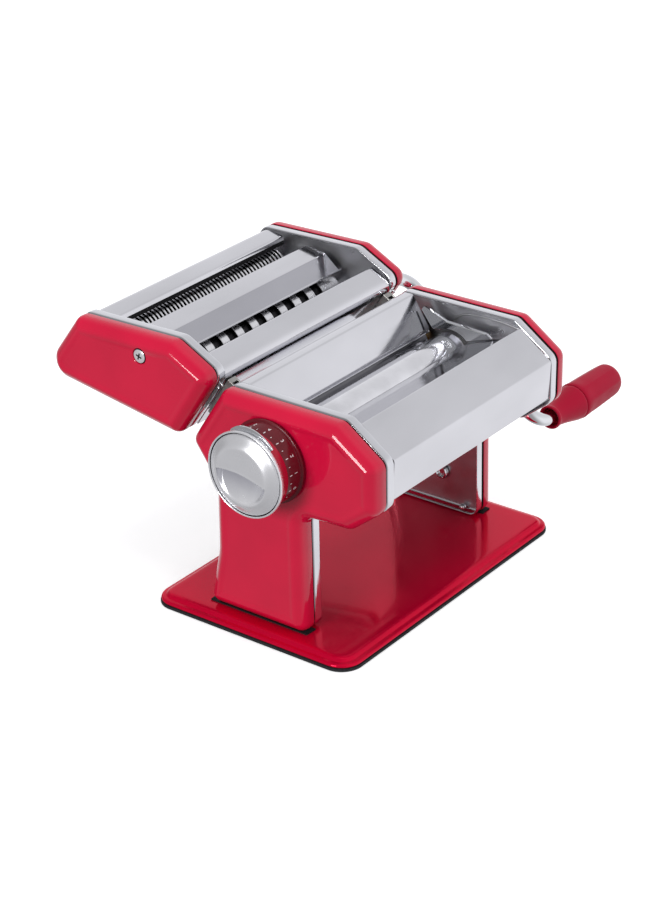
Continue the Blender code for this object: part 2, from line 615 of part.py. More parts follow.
def wide_profile(offset, left, socket):
    """Ringed cutter body; offset shifts the rings by half a pitch."""
    pts = []
    end = 73.0
    n = int(2 * end / WIDE_PITCH)
    w = WIDE_PITCH / 2 - 0.35
    start = end
    rings = []
    k = -n
    while k <= n:
        c = k * WIDE_PITCH + offset
        if abs(c) + w / 2 < end - 0.6:
            rings.append(c)
        k += 1
    rings.sort(reverse=True)
    if socket:
        pts += [(0.0, 77.0), (4.25, 77.0), (4.25, 92.3), (6.1, 92.3), (6.1, end)]
    else:
        pts += [(0.0, 88.6), (4.1, 88.6), (4.1, end)]
    pts.append((CUT_CORE_R, end))
    for c in rings:
        pts += [(CUT_CORE_R, c + w / 2), (CUT_RING_R, c + w / 2), (CUT_RING_R, c - w / 2), (CUT_CORE_R, c - w / 2)]
    pts += [(CUT_CORE_R, -end), (4.1, -end), (4.1, left), (0.0, left)]
    return pts


def narrow_profile(socket):
    end = 73.0
    pts = [(0.0, 77.0), (4.25, 77.0), (4.25, 92.3), (6.1, 92.3), (6.1, end)] if socket else \
        [(0.0, 88.6), (4.1, 88.6), (4.1, end)]
    return pts + [(NARROW_BODY_R, end), (NARROW_BODY_R, -end), (4.1, -end), (4.1, -88.6), (0.0, -88.6)]


cut_pivots = {}
for name, at, prof, steps in (
        ("wide_cutter_front", WIDE_F, wide_profile(0.0, -80.6, True), 12),
        ("wide_cutter_rear", WIDE_R, wide_profile(WIDE_PITCH / 2, -80.6, False), 12),
        ("narrow_cutter_front", NARROW_F, narrow_profile(True), 20),
        ("narrow_cutter_rear", NARROW_R, narrow_profile(False), 20)):
    pv = pivot("pivot_" + name, (0, at[0], at[1]), head)
    cut_pivots[name] = pv
    finish(bake(turned(name, prof, 0.0, at, steps, parent=pv)), "steel")
# the wide pair's gears are behind the right cover and the narrow pair's behind the left one
for tag, f, r, g0, bore_f in (("wide", WIDE_F, WIDE_R, 82.4, 6.3), ("narrow", NARROW_F, NARROW_R, -86.4, 4.3)):
    for where, at, phase, bore in (("front", f, CUT_TILT, bore_f), ("rear", r, CUT_TILT + math.pi + math.pi / GEAR_N, 4.3)):
        loops = [gear_outline(at[0], at[1], CUT_CD, GEAR_N, 1.1, 1.6, phase, 0.24), ring(at[0], at[1], bore, 18)]
        finish(plate("%s_gear_%s" % (tag, where), loops, g0, g0 + 4.0, at=at,
                     parent=cut_pivots["%s_cutter_%s" % (tag, where)]), "gear")

# ------------------------------------------------------------------ crank
crank = pivot("slide_crank", (ARM_X, WIDE_F[0], WIDE_F[1]), cut_pivots["wide_cutter_front"])
arm = Vector((0.0, GRIP_AX[0] - WIDE_F[0], GRIP_AX[1] - WIDE_F[1]))
arm_len = arm.length
arm.normalize()
ex = Vector((1.0, 0.0, 0.0))
hub = Vector((ARM_X, WIDE_F[0], WIDE_F[1]))
path = [Vector((77.6, WIDE_F[0], WIDE_F[1]))]
c = hub - ex * BEND_R + arm * BEND_R
for k in range(7):
    a = math.radians(90.0 * k / 6)
    path.append(c - arm * BEND_R * math.cos(a) + ex * BEND_R * math.sin(a))
c = hub + arm * (arm_len - BEND_R) + ex * BEND_R
for k in range(7):
    a = math.radians(90.0 * k / 6)
    path.append(c - ex * BEND_R * math.cos(a) + arm * BEND_R * math.sin(a))
path.append(Vector((GRIP_X1 - 8.0, GRIP_AX[0], GRIP_AX[1])))
finish(tube_path("crank_rod", path, ROD_R, parent=crank, at=(ARM_X, WIDE_F[0], WIDE_F[1]), res=4), "chrome")

grip = pivot("pivot_grip", (GRIP_SEAM, GRIP_AX[0], GRIP_AX[1]), crank)
prof = [(11.3, GRIP_SEAM), (11.5, GRIP_SEAM - 1.0), (11.2, GRIP_SEAM - 4.0), (9.2, GRIP_X0 + 9.0), (7.6, GRIP_X0 + 3.0),
        (7.2, GRIP_X0 + 0.6), (6.6, GRIP_X0), (4.35, GRIP_X0), (4.35, GRIP_SEAM)]
prof = [(r, h - GRIP_SEAM) for r, h in prof]
finish(bake(turned("grip_collar", prof, GRIP_SEAM, GRIP_AX, 20, parent=grip, closed=True)), "grip")
e = GRIP_X1
prof = [(0.0, e), (5.5, e), (8.6, e - 1.6), (10.4, e - 4.8), (10.9, e - 9.0), (11.6, GRIP_SEAM + 14.0), (11.4, GRIP_SEAM + 1.4),
        (10.8, GRIP_SEAM + GAP), (4.35, GRIP_SEAM + GAP), (4.35, e - 7.0), (0.0, e - 7.0)]
prof = [(r, h - GRIP_SEAM) for r, h in prof]
finish(bake(turned("grip_body", prof, GRIP_SEAM, GRIP_AX, 20, parent=grip)), "grip")
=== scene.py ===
"""Visual model of the pasta roller machine.

Pressed and rolled shells, folded sheet steel, turned rollers and cutters, and
procedural finishes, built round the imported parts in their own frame: metres,
+Z up, +X along the rollers towards the crank, -Y the front.  Lengths in the
shape code are millimetres and go through MM.
"""

import math

import bmesh
import bpy
from mathutils import Matrix, Vector


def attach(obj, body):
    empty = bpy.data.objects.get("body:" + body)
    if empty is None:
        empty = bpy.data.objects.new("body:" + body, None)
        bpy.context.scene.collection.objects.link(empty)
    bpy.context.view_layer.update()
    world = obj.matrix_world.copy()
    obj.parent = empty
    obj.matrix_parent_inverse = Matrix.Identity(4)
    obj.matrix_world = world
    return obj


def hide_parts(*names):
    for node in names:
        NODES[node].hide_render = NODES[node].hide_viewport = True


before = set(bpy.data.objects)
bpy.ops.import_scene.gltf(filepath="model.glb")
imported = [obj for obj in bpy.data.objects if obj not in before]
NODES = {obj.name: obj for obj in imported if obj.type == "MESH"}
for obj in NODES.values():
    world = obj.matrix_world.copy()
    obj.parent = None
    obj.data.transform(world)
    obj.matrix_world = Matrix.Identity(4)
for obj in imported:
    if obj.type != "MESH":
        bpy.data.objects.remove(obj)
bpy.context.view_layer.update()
scene = bpy.context.scene

MM = 0.001
TAU = 2.0 * math.pi

# ------------------------------------------------------------------ dimensions
FRAME_OUT, FRAME_IN = 81.0, 75.0
COVER_X = 81.3
COVER_DEPTH = 11.2
SHEET_HALF = 74.6
REAR_AX = (13.4, 108.6)
FRONT_AX = (-12.8, 108.6)
CUT_TILT = math.radians(9.0)
CUT_CD = 20.0
WIDE_F = (52.8, 126.2)
WIDE_R = (WIDE_F[0] + CUT_CD * math.cos(CUT_TILT), WIDE_F[1] + CUT_CD * math.sin(CUT_TILT))
NARROW_F = (WIDE_F[0] + 41.2 * math.cos(CUT_TILT), WIDE_F[1] + 41.2 * math.sin(CUT_TILT))
NARROW_R = (NARROW_F[0] + CUT_CD * math.cos(CUT_TILT), NARROW_F[1] + CUT_CD * math.sin(CUT_TILT))
WIDE_PITCH = 13.0
ARM_X = 120.5
GRIP_AX = (-45.0, 53.3)
KNOB_FACE = 117.2

BODY = [(-55.8, 139.3, 7), (-80.9, 121.4, 7), (-80.7, 94.6, 9), (-62.0, 79.8, 8),
        (-31.5, 78.6, 6), (-31.8, 6.9, 6), (36.0, 6.9, 6), (28.6, 42.0, 30),
        (27.8, 82.0, 14), (43.5, 104.5, 6), (20.5, 139.2, 6)]
HEAD = [(53.9, 158.0, 9), (26.2, 143.4, 7), (52.6, 103.4, 6), (150.9, 119.0, 11),
        (122.5, 156.6, 7)]


# ------------------------------------------------------------------ finishes
class Finish:
    """A procedural material under construction."""

    def __init__(self, name, rgb, rough, metal=0.0, coat=0.0, coat_rough=0.03, spec=0.5):
        self.mat = bpy.data.materials.new(name)
        self.mat.use_nodes = True
        self.tree = self.mat.node_tree
        self.bsdf = self.tree.nodes["Principled BSDF"]
        self.bsdf.inputs["Base Color"].default_value = (*rgb, 1.0)
        self.bsdf.inputs["Roughness"].default_value = rough
        self.bsdf.inputs["Metallic"].default_value = metal
        self.bsdf.inputs["Coat Weight"].default_value = coat
        self.bsdf.inputs["Coat Roughness"].default_value = coat_rough
        self.bsdf.inputs["Specular IOR Level"].default_value = spec
        self.mat.diffuse_color = (*rgb, 1.0)
        self.rgb = rgb
        self.rough = rough
        self.coord = self.tree.nodes.new("ShaderNodeTexCoord")
        self.height = None

    def node(self, kind, **inputs):
        n = self.tree.nodes.new(kind)
        for key, value in inputs.items():
            n.inputs[key.replace("_", " ")].default_value = value
        return n

    def mapped(self, scale):
        m = self.node("ShaderNodeMapping")
        m.inputs["Scale"].default_value = scale
        self.tree.links.new(self.coord.outputs["Object"], m.inputs["Vector"])
        return m.outputs["Vector"]

    def noise(self, scale, detail=2.0, stretch=(1.0, 1.0, 1.0), rough=0.5, distort=0.0):
        n = self.node("ShaderNodeTexNoise", Scale=scale, Detail=detail, Roughness=rough, Distortion=distort)
        self.tree.links.new(self.mapped(stretch), n.inputs["Vector"])
        return n.outputs["Fac"]

    def remap(self, fac, lo, hi, a=0.3, b=0.7):
        m = self.node("ShaderNodeMapRange")
        m.inputs["From Min"].default_value = a
        m.inputs["From Max"].default_value = b
        m.inputs["To Min"].default_value = lo
        m.inputs["To Max"].default_value = hi
        self.tree.links.new(fac, m.inputs["Value"])
        return m.outputs["Result"]

    def maths(self, op, a, b):
        m = self.node("ShaderNodeMath")
        m.operation = op
        for sock, v in zip(m.inputs, (a, b)):
            if isinstance(v, (int, float)):
                sock.default_value = v
            else:
                self.tree.links.new(v, sock)
        return m.outputs[0]

    def tint(self, fac, low, high):
        """Base colour moves between two colours with fac."""
        m = self.node("ShaderNodeMix")
        m.data_type = "RGBA"
        self.tree.links.new(fac, m.inputs[0])
        for s in m.inputs:
            if s.type == "RGBA" and s.name == "A":
                s.default_value = (*low, 1.0)
            if s.type == "RGBA" and s.name == "B":
                s.default_value = (*high, 1.0)
        out = [s for s in m.outputs if s.type == "RGBA"][0]
        self.tree.links.new(out, self.bsdf.inputs["Base Color"])
        return out

    def roughness(self, value):
        self.tree.links.new(value, self.bsdf.inputs["Roughness"])

    def bump(self, height, strength, distance):
        b = self.node("ShaderNodeBump", Strength=strength, Distance=distance)
        self.tree.links.new(height, b.inputs["Height"])
        if self.height is not None:
            self.tree.links.new(self.height, b.inputs["Normal"])
        self.height = b.outputs["Normal"]
        self.tree.links.new(self.height, self.bsdf.inputs["Normal"])
        return self


def shade(rgb, k):
    return tuple(min(1.0, c * k) for c in rgb)


def enamel(name, rgb, rough=0.2, coat=1.0, peel=0.06):
    """Sprayed gloss enamel: faint mottling, orange peel, a few polishing smears."""
    f = Finish(name, rgb, rough, 0.0, coat, 0.03, 0.05)
    f.tint(f.remap(f.noise(22.0, 3.0), 0.0, 1.0), shade(rgb, 0.93), shade(rgb, 1.07))
    f.roughness(f.remap(f.noise(55.0, 4.0, (1.0, 0.6, 1.4)), rough - 0.05, rough + 0.10))
    f.bump(f.noise(700.0, 2.0), peel, 0.00012)
    f.bump(f.noise(26.0, 1.0), 0.02, 0.0012)
    return f.mat


def rolled_steel(name, rgb, rough=0.15, along=(6.0, 260.0, 260.0), wave=0.05, grain=0.05):
    """Polished sheet steel: rolling grain along X, faint cloudiness and slightly wavy flats."""
    f = Finish(name, rgb, rough, 1.0)
    streak = f.noise(1.0, 3.0, along, 0.6)
    cloud = f.noise(26.0, 3.0, (0.5, 1.0, 1.0))
    f.tint(f.remap(cloud, 0.0, 1.0), shade(rgb, 0.93), shade(rgb, 1.05))
    f.roughness(f.maths("ADD", f.remap(streak, rough - 0.035, rough + 0.05),
                        f.remap(f.noise(85.0, 3.0), -0.02, 0.03)))
    f.bump(streak, grain, 0.00006)
    f.bump(f.noise(9.0, 1.0, (0.6, 1.0, 1.0)), wave, 0.006)
    return f.mat


def chrome(name, rgb=(0.80, 0.81, 0.83), rough=0.05, grain=0.02):
    """Chrome plate: a mirror with wiping marks and a very fine ripple."""
    f = Finish(name, rgb, rough, 1.0)
    f.tint(f.remap(f.noise(40.0, 3.0), 0.0, 1.0), shade(rgb, 0.94), shade(rgb, 1.04))
    f.roughness(f.remap(f.noise(120.0, 4.0, (1.0, 1.0, 0.4)), rough - 0.015, rough + 0.05))
    f.bump(f.noise(300.0, 2.0), grain, 0.0001)
    return f.mat


def turned_steel(name, rgb, rough=0.22, lines=1500.0, cut=0.12):
    """Turned steel: fine rings round the X axis from the tool."""
    f = Finish(name, rgb, rough, 1.0)
    ring = f.noise(1.0, 2.0, (lines, 4.0, 4.0), 0.6)
    f.tint(f.remap(f.noise(60.0, 3.0), 0.0, 1.0), shade(rgb, 0.90), shade(rgb, 1.06))
    f.roughness(f.maths("ADD", f.remap(ring, rough - 0.04, rough + 0.06), f.remap(f.noise(150.0, 2.0), -0.02, 0.03)))
    f.bump(ring, cut, 0.00005)
    return f.mat


def cut_steel(name, rgb, rough=0.35):
    """Milled and oiled steel."""
    f = Finish(name, rgb, rough, 1.0)
    n = f.noise(180.0, 4.0, (3.0, 1.0, 1.0))
    f.tint(f.remap(n, 0.0, 1.0), shade(rgb, 0.72), shade(rgb, 1.1))
    f.roughness(f.remap(n, rough - 0.1, rough + 0.12))
    f.bump(n, 0.2, 0.0001)
    return f.mat


def plastic(name, rgb, rough=0.3, spec=0.5, grain=900.0, depth=0.06):
    """Moulded plastic: fine spark-eroded grain, slight flow marks, handling sheen."""
    f = Finish(name, rgb, rough, 0.0, 0.0, 0.1, spec)
    f.tint(f.remap(f.noise(30.0, 3.0, (0.4, 1.0, 1.0)), 0.0, 1.0), shade(rgb, 0.88), shade(rgb, 1.1))
    f.roughness(f.remap(f.noise(90.0, 4.0), rough - 0.06, rough + 0.1))
    f.bump(f.noise(grain, 2.0), depth, 0.00012)
    return f.mat


def rubber(name, rgb):
    f = Finish(name, rgb, 0.72, 0.0, 0.0, 0.1, 0.35)
    f.tint(f.remap(f.noise(900.0, 2.0), 0.0, 1.0), shade(rgb, 0.6), shade(rgb, 1.7))
    f.roughness(f.remap(f.noise(200.0, 3.0), 0.62, 0.88))
    f.bump(f.noise(1400.0, 3.0), 0.35, 0.00015)
    return f.mat


RED = (0.58, 0.0045, 0.040)
M_COVER = enamel("red_enamel", RED, 0.30, 0.95)
M_BASE = enamel("base_enamel", (0.66, 0.0006, 0.034), 0.13, 0.12, 0.03)
M_BASE.node_tree.nodes["Principled BSDF"].inputs["Metallic"].default_value = 0.42
M_STEEL = rolled_steel("polished_sheet_steel", (0.715, 0.715, 0.745), 0.105, (6.0, 260.0, 260.0), 0.012, 0.03)
M_RIM = rolled_steel("pressed_rim_steel", (0.73, 0.735, 0.765), 0.12, (30.0, 90.0, 90.0), 0.012, 0.015)
M_CHROME = chrome("chrome_plate")
M_CAP = chrome("satin_chrome_cap", (0.86, 0.86, 0.89), 0.24, 0.02)
M_CAP.node_tree.nodes["Principled BSDF"].inputs["Metallic"].default_value = 0.70
M_SCREW = chrome("bright_screw_plate", (0.88, 0.88, 0.90), 0.20, 0.02)
M_SCREW.node_tree.nodes["Principled BSDF"].inputs["Metallic"].default_value = 0.65


def scoop_finish():
    """Cap chrome with painted shade: darkens towards the top edge of the finger scoop."""
    f = Finish("scooped_chrome_painted_shade", (0.86, 0.86, 0.89), 0.22, 0.70)
    sep = f.tree.nodes.new("ShaderNodeSeparateXYZ")
    f.tree.links.new(f.coord.outputs["Object"], sep.inputs[0])
    # painted shade: light at the scoop's bottom, dark under its top edge
    f.tint(f.remap(sep.outputs["Z"], 0.0, 1.0, 0.0955, 0.1105), (0.93, 0.93, 0.96), (0.50, 0.50, 0.56))
    f.roughness(f.remap(f.noise(120.0, 4.0), 0.18, 0.28))
    f.bump(f.noise(300.0, 2.0), 0.02, 0.0001)
    return f.mat


M_SCOOP_SHADE = scoop_finish()
M_WALL = rolled_steel("satin_wall_steel", (0.64, 0.64, 0.67), 0.30, (60.0, 60.0, 60.0), 0.01, 0.02)
# darker copy of the polished sheet steel for roof faces that face front and up: painted shade
M_FOLD_SHADE = rolled_steel("fold_steel_painted_shade", (0.50, 0.50, 0.535), 0.12, (6.0, 260.0, 260.0), 0.012, 0.03)
M_ROLLER = turned_steel("smooth_roller_steel", (0.84, 0.84, 0.87), 0.12, 1600.0, 0.05)
# nearly black copy of the roller steel: painted shade and painted dark reflection on the rear roller
M_REAR_ROLLER_SHADE = turned_steel("rear_roller_painted_shade_steel", (0.13, 0.13, 0.14), 0.12, 1600.0, 0.05)
M_CUTTER = turned_steel("cutter_steel", (0.80, 0.80, 0.82), 0.28, 2200.0, 0.08)
# near-black steel for groove floors and flanks: painted shade in the grooves
M_GROOVE_SHADE = turned_steel("groove_steel_painted_shade", (0.040, 0.039, 0.042), 0.45, 2200.0, 0.10)
M_SHAFT = turned_steel("turned_shaft_steel", (0.55, 0.55, 0.57), 0.30)
M_GEAR = cut_steel("gear_steel", (0.46, 0.45, 0.43))
M_BRONZE = cut_steel("sintered_bronze", (0.50, 0.33, 0.15), 0.38)
M_SPRING = turned_steel("spring_steel", (0.50, 0.50, 0.52), 0.28, 900.0)
M_RUBBER = rubber("black_rubber", (0.010, 0.010, 0.012))
# near-black rubber laid into gaps, rebates, recesses and grooves: painted shade
M_GAP_SHADE = rubber("black_gap_painted_shade", (0.006, 0.005, 0.006))
M_GRIP = plastic("red_grip_plastic", (0.42, 0.007, 0.034), 0.34, 0.10)
# dark red for the dial barrel next to the cover: painted shade
M_DIAL_SHADE = plastic("dial_plastic_painted_shade", (0.13, 0.001, 0.008), 0.18, 0.4, 700.0, 0.03)
M_DIALRING = plastic("red_dial_ring_plastic", (0.42, 0.004, 0.026), 0.18, 0.4, 700.0, 0.03)
M_NYLON = plastic("natural_nylon", (0.72, 0.70, 0.64), 0.45)
M_INK = plastic("white_dial_ink", (0.85, 0.84, 0.84), 0.55, 0.3)


# ------------------------------------------------------------------ shape helpers
def rounded(corners, inset=0.0, step=math.radians(7.5)):
    """Closed outline with rounded corners, moved inwards by inset.  The number of
    points does not depend on the inset, so insets of one outline can be lofted."""
    n = len(corners)
    area = sum(corners[i][0] * corners[(i + 1) % n][1] - corners[(i + 1) % n][0] * corners[i][1] for i in range(n))
    ccw = 1.0 if area > 0 else -1.0
    lines = []
    for i in range(n):
        a, b = Vector(corners[i][:2]), Vector(corners[(i + 1) % n][:2])
        d = (b - a).normalized()
        lines.append((a + Vector((-d.y, d.x)) * ccw * inset, d))
    pts = []
    for i in range(n):
        (p, d), (q, e) = lines[i - 1], lines[i]
        cross = d.x * e.y - d.y * e.x
        t = ((q - p).x * e.y - (q - p).y * e.x) / cross
        c = p + d * t
        convex = cross * ccw > 0
        r = max(corners[i][2] - inset if convex else corners[i][2] + inset, 0.35)
        turn = math.acos(max(-1.0, min(1.0, d.dot(e))))
        tang = r * math.tan(turn / 2)
        k = max(2, int(math.ceil(turn / step)))
        side = 1.0 if cross > 0 else -1.0
        centre = c - d * tang + Vector((-d.y, d.x)) * side * r
        start = c - d * tang - centre
        for j in range(k + 1):
            ang = side * turn * j / k
            pts.append((centre.x + start.x * math.cos(ang) - start.y * math.sin(ang),
                        centre.y + start.x * math.sin(ang) + start.y * math.cos(ang)))
    return pts


def piece(name, verts, faces, body, mats, sharp=34.0, indices=None, stands_for=()):
    """A finished mesh object in the row frame, riding on a body."""
    me = bpy.data.meshes.new(name)
    me.from_pydata([(v[0] * MM, v[1] * MM, v[2] * MM) for v in verts], [], faces)
    for m in mats if isinstance(mats, (list, tuple)) else [mats]:
        me.materials.append(m)
    if indices is not None:
        me.polygons.foreach_set("material_index", indices)
    bm = bmesh.new()
    bm.from_mesh(me)
    bmesh.ops.remove_doubles(bm, verts=bm.verts, dist=0.0000004)
    bmesh.ops.recalc_face_normals(bm, faces=bm.faces)
    bm.to_mesh(me)
    bm.free()
    me.shade_smooth()
    me.set_sharp_from_angle(angle=math.radians(sharp))
    ob = bpy.data.objects.new(name, me)
    scene.collection.objects.link(ob)
    return settle(ob, body, stands_for)


def settle(ob, body, stands_for=()):
    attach(ob, body)
    if isinstance(stands_for, str):
        stands_for = (stands_for,)
    if stands_for:
        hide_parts(*stands_for)
    return ob


def loft(loops, cap_start=True, cap_end=True, ring=False):
    """Quads between closed loops with equal counts; optional end caps; ring joins last to first."""
    n = len(loops[0])
    verts = [p for loop in loops for p in loop]
    faces = []
    m = len(loops)
    for i in range(m if ring else m - 1):
        a, b = i * n, ((i + 1) % m) * n
        for j in range(n):
            k = (j + 1) % n
            faces.append((a + j, a + k, b + k, b + j))
    if not ring:
        if cap_start:
            faces.append(tuple(reversed(range(n))))
        if cap_end:
            faces.append(tuple((m - 1) * n + j for j in range(n)))
    return verts, faces


def lathe(profile, at, seg=96, closed=False, phase=0.0, wobble=None):
    """Turned shape about an X axis through at (y, z).  profile holds (radius, x)."""
    verts, faces, rows = [], [], []
    for r, x in profile:
        if r < 1e-6:
            rows.append([len(verts)])
            verts.append((x, at[0], at[1]))
        else:
            row = []
            for j in range(seg):
                a = phase + TAU * j / seg
                rr = r if wobble is None else wobble(r, x, a)
                row.append(len(verts))
                verts.append((x, at[0] + rr * math.cos(a), at[1] + rr * math.sin(a)))
            rows.append(row)
    pairs = list(zip(rows, rows[1:]))
    if closed:
        pairs.append((rows[-1], rows[0]))
    for a, b in pairs:
        for j in range(seg):
            k = (j + 1) % seg
            if len(a) == 1 and len(b) == 1:
                continue
            if len(a) == 1:
                faces.append((a[0], b[k], b[j]))
            elif len(b) == 1:
                faces.append((a[j], a[k], b[0]))
            else:
                faces.append((a[j], a[k], b[k], b[j]))
    return verts, faces


def bent_path(pts, bend, step=9.0):
    """Polyline with its inner corners rounded."""
    out = []
    n = len(pts)
    for i, p in enumerate(pts):
        if i in (0, n - 1):
            out.append(Vector(p))
            continue
        a, b, c = Vector(pts[i - 1]), Vector(p), Vector(pts[i + 1])
        d, e = (b - a).normalized(), (c - b).normalized()
        turn = math.acos(max(-1.0, min(1.0, d.dot(e))))
        r = bend[i] if isinstance(bend, (list, tuple)) else bend
        tang = r * math.tan(turn / 2)
        s = 1.0 if d.x * e.y - d.y * e.x > 0 else -1.0
        centre = b - d * tang + Vector((-d.y, d.x)) * s * r
        st = b - d * tang - centre
        k = max(3, int(math.ceil(math.degrees(turn) / step)))
        for j in range(k + 1):
            ang = s * turn * j / k
            out.append(Vector((centre.x + st.x * math.cos(ang) - st.y * math.sin(ang),
                               centre.y + st.x * math.sin(ang) + st.y * math.cos(ang))))
    return out


def folded(pts, x0, x1, thick=0.8, bend=2.0, stations=None):
    """Folded sheet steel along X with its real thickness and slightly broken edges."""
    path = bent_path(pts, bend)
    n = len(path)
    left, right = [], []
    for i, p in enumerate(path):
        a = path[max(0, i - 1)]
        b = path[min(n - 1, i + 1)]
        d1 = (p - a).normalized() if i > 0 else (b - p).normalized()
        d2 = (b - p).normalized() if i < n - 1 else d1
        t = (d1 + d2).normalized()
        nrm = Vector((-t.y, t.x))
        k = 1.0 / max(0.5, nrm.dot(Vector((-d1.y, d1.x))))
        left.append(p + nrm * thick * 0.5 * k)
        right.append(p - nrm * thick * 0.5 * k)
    brk = 0.12
    # broken long edges: three points round each free edge
    d0 = (path[1] - path[0]).normalized()
    d1 = (path[-1] - path[-2]).normalized()
    loop = [left[0] + d0 * brk] + left[1:-1] + [left[-1] - d1 * brk,
           left[-1].lerp(right[-1], brk / thick), right[-1].lerp(left[-1], brk / thick), right[-1] - d1 * brk]
    loop += right[1:-1][::-1] + [right[0] + d0 * brk, right[0].lerp(left[0], brk / thick), left[0].lerp(right[0], brk / thick)]
    xs = stations or [x0, x1]
    loops = [[(x, q.x, q.y) for q in loop] for x in xs]
    verts, faces = loft(loops, False, False)
    m = len(loop)
    # end caps as strips between the two faces
    ups = list(range(0, n))
    downs = [m - 3 - i for i in range(n)]
    for base, flip in ((0, False), ((len(xs) - 1) * m, True)):
        for i in range(n - 1):
            q = (base + ups[i], base + ups[i + 1], base + downs[i + 1], base + downs[i])
            faces.append(q if not flip else tuple(reversed(q)))
        q = (base + n - 1, base + n, base + n + 1, base + n + 2)
        faces.append(q if not flip else tuple(reversed(q)))
        q = (base + m - 3, base + m - 2, base + m - 1, base)
        faces.append(q if not flip else tuple(reversed(q)))
    return verts, faces


def cut(ob, cutter):
    """Boolean difference, applied."""
    mod = ob.modifiers.new("cut", "BOOLEAN")
    mod.operation = "DIFFERENCE"
    mod.solver = "EXACT"
    mod.object = cutter
    bpy.context.view_layer.update()
    dep = bpy.context.evaluated_depsgraph_get()
    me = bpy.data.meshes.new_from_object(ob.evaluated_get(dep))
    me.name = ob.data.name
    ob.modifiers.clear()
    old = ob.data
    ob.data = me
    if len(me.materials) == 0:
        for m in old.materials:
            me.materials.append(m)
    me.shade_smooth()
    me.set_sharp_from_angle(angle=math.radians(34.0))
    bpy.data.objects.remove(cutter, do_unlink=True)
    return ob


def tool(verts, faces):
    me = bpy.data.meshes.new("tool")
    me.from_pydata([(v[0] * MM, v[1] * MM, v[2] * MM) for v in verts], [], faces)
    bm = bmesh.new()
    bm.from_mesh(me)
    bmesh.ops.recalc_face_normals(bm, faces=bm.faces)
    bm.to_mesh(me)
    bm.free()
    ob = bpy.data.objects.new("tool", me)
    scene.collection.objects.link(ob)
    ob.hide_render = True
    return ob


# ------------------------------------------------------------------ covers
WALL = [(0.05, 1.1), (0.0, 1.6), (0.0, 3.9), (0.12, 4.9), (0.45, 6.0), (1.0, 7.1), (1.75, 8.1), (2.7, 9.0), (3.7, 9.75),
        (4.4, 10.27), (5.0, 10.64), (5.6, 10.92), (6.2, 11.09), (6.8, 11.13), (7.4, 11.06), (8.0, 10.92), (8.6, 10.77), (9.2, 10.68),
        (10.0, 10.65), (11.5, 10.64)]


def cover(name, outline, side, body, node, holes=()):
    """Moulded cover: a rebate at the frame painted black as the shade of the gap, straight wall, rolled shoulder, a
    fine raised line, then the flat face; hollow behind."""
    prof = [(1.1, -0.15), (1.1, 0.75), (0.35, 0.8)] + WALL
    back = [(11.5, 9.1), (5.2, 8.4), (2.6, 5.6), (2.0, 4.0), (2.0, -0.15)]
    rows = back + prof
    loops = []
    for inset, depth in rows:
        x = side * (COVER_X + depth)
        loops.append([(x, y, z) for y, z in rounded(outline, inset)])
    verts, faces = loft(loops)
    n = len(loops[0])
    idx = []
    # the three bands round the rebate take the black gap material: painted shade of the gap to the frame
    first = len(back)
    for i in range(len(rows) - 1):
        idx += [1 if i in (first - 1, first, first + 1) else 0] * n
    idx += [0, 0]
    ob = piece(name, verts, faces, body, [M_COVER, M_GAP_SHADE], 40.0, idx, node)
    for cy, cz, r in holes:
        x0, x1 = side * (COVER_X + 5.0), side * (COVER_X + COVER_DEPTH + 3.0)
        xf = side * (COVER_X + 10.66)
        prof_h = [(0.0, x1), (r + 1.3, x1), (r + 0.9, xf + side * 0.2), (r + 0.25, xf - side * 0.25), (r, xf - side * 0.9), (r, x0), (0.0, x0)]
        cut(ob, tool(*lathe(prof_h, (cy, cz), 48)))
    return ob


for side, tag in ((-1, "left"), (1, "right")):
    hole = [(FRONT_AX[0], FRONT_AX[1], 5.8)] if side < 0 else [(REAR_AX[0], REAR_AX[1], 7.0)]
    cover("cover_shell_" + tag, BODY, side, "stand", "side_cover_" + tag, hole)
    hole = [] if side < 0 else [(WIDE_F[0], WIDE_F[1], 6.8), (NARROW_F[0], NARROW_F[1], 6.8)]
    hole.append((75.7, 145.4, 4.35))
    cover("cutter_shell_" + tag, HEAD, side, "cutter_head", "cutter_cover_" + tag, hole)


# ------------------------------------------------------------------ pressed frames
def frame_tray(name, outline, side, body, node, x_out, x_in):
    """Pressed side frame: flat web, bent rim and a rolled free edge."""
    rows = [(9.0, x_out), (2.0, x_out), (1.2, x_out - 0.12), (0.55, x_out - 0.45), (0.15, x_out - 0.95), (0.0, x_out - 1.6),
            (0.0, x_in + 1.2), (0.04, x_in + 0.7), (0.12, x_in + 0.4), (0.28, x_in + 0.12),
            (0.55, x_in), (0.9, x_in + 0.1), (1.1, x_in + 0.4),
            (1.15, x_in + 0.8), (1.0, x_in + 1.2), (1.0, x_out - 2.4), (1.2, x_out - 1.7), (1.8, x_out - 1.25),
            (2.6, x_out - 1.15), (9.0, x_out - 1.15)]
    loops = [[(side * x, y, z) for y, z in rounded(outline, inset)] for inset, x in rows]
    verts, faces = loft(loops)
    idx = []
    for q in faces:
        xs = [abs(verts[i][0]) for i in q]
        zs = [verts[i][2] for i in q]
        if max(zs) < 8.6 and min(xs) > x_in + 1.0:
            idx.append(2)
        elif max(xs) - min(xs) < 0.02 and min(xs) < x_out - 1.1 and min(xs) > x_in + 3.0:
            idx.append(1)
        else:
            idx.append(0)
    return piece(name, verts, faces, body, [M_RIM, M_WALL, M_BASE], 50.0, idx, node)


for side, tag in ((-1, "left"), (1, "right")):
    frame_tray("frame_plate_" + tag, BODY, side, "stand", "side_frame_" + tag, FRAME_OUT, FRAME_IN)
    frame_tray("cutter_plate_" + tag, HEAD, side, "cutter_head", "cutter_frame_" + tag, 81.2, 75.2)

# ------------------------------------------------------------------ folded sheets
def sheet(name, node, body, pts, bend, thick=0.8, half=SHEET_HALF, mat=None):
    v, f = folded(pts, -half, half, thick, bend)
    return piece(name, v, f, body, mat or M_STEEL, 40.0, None, node)


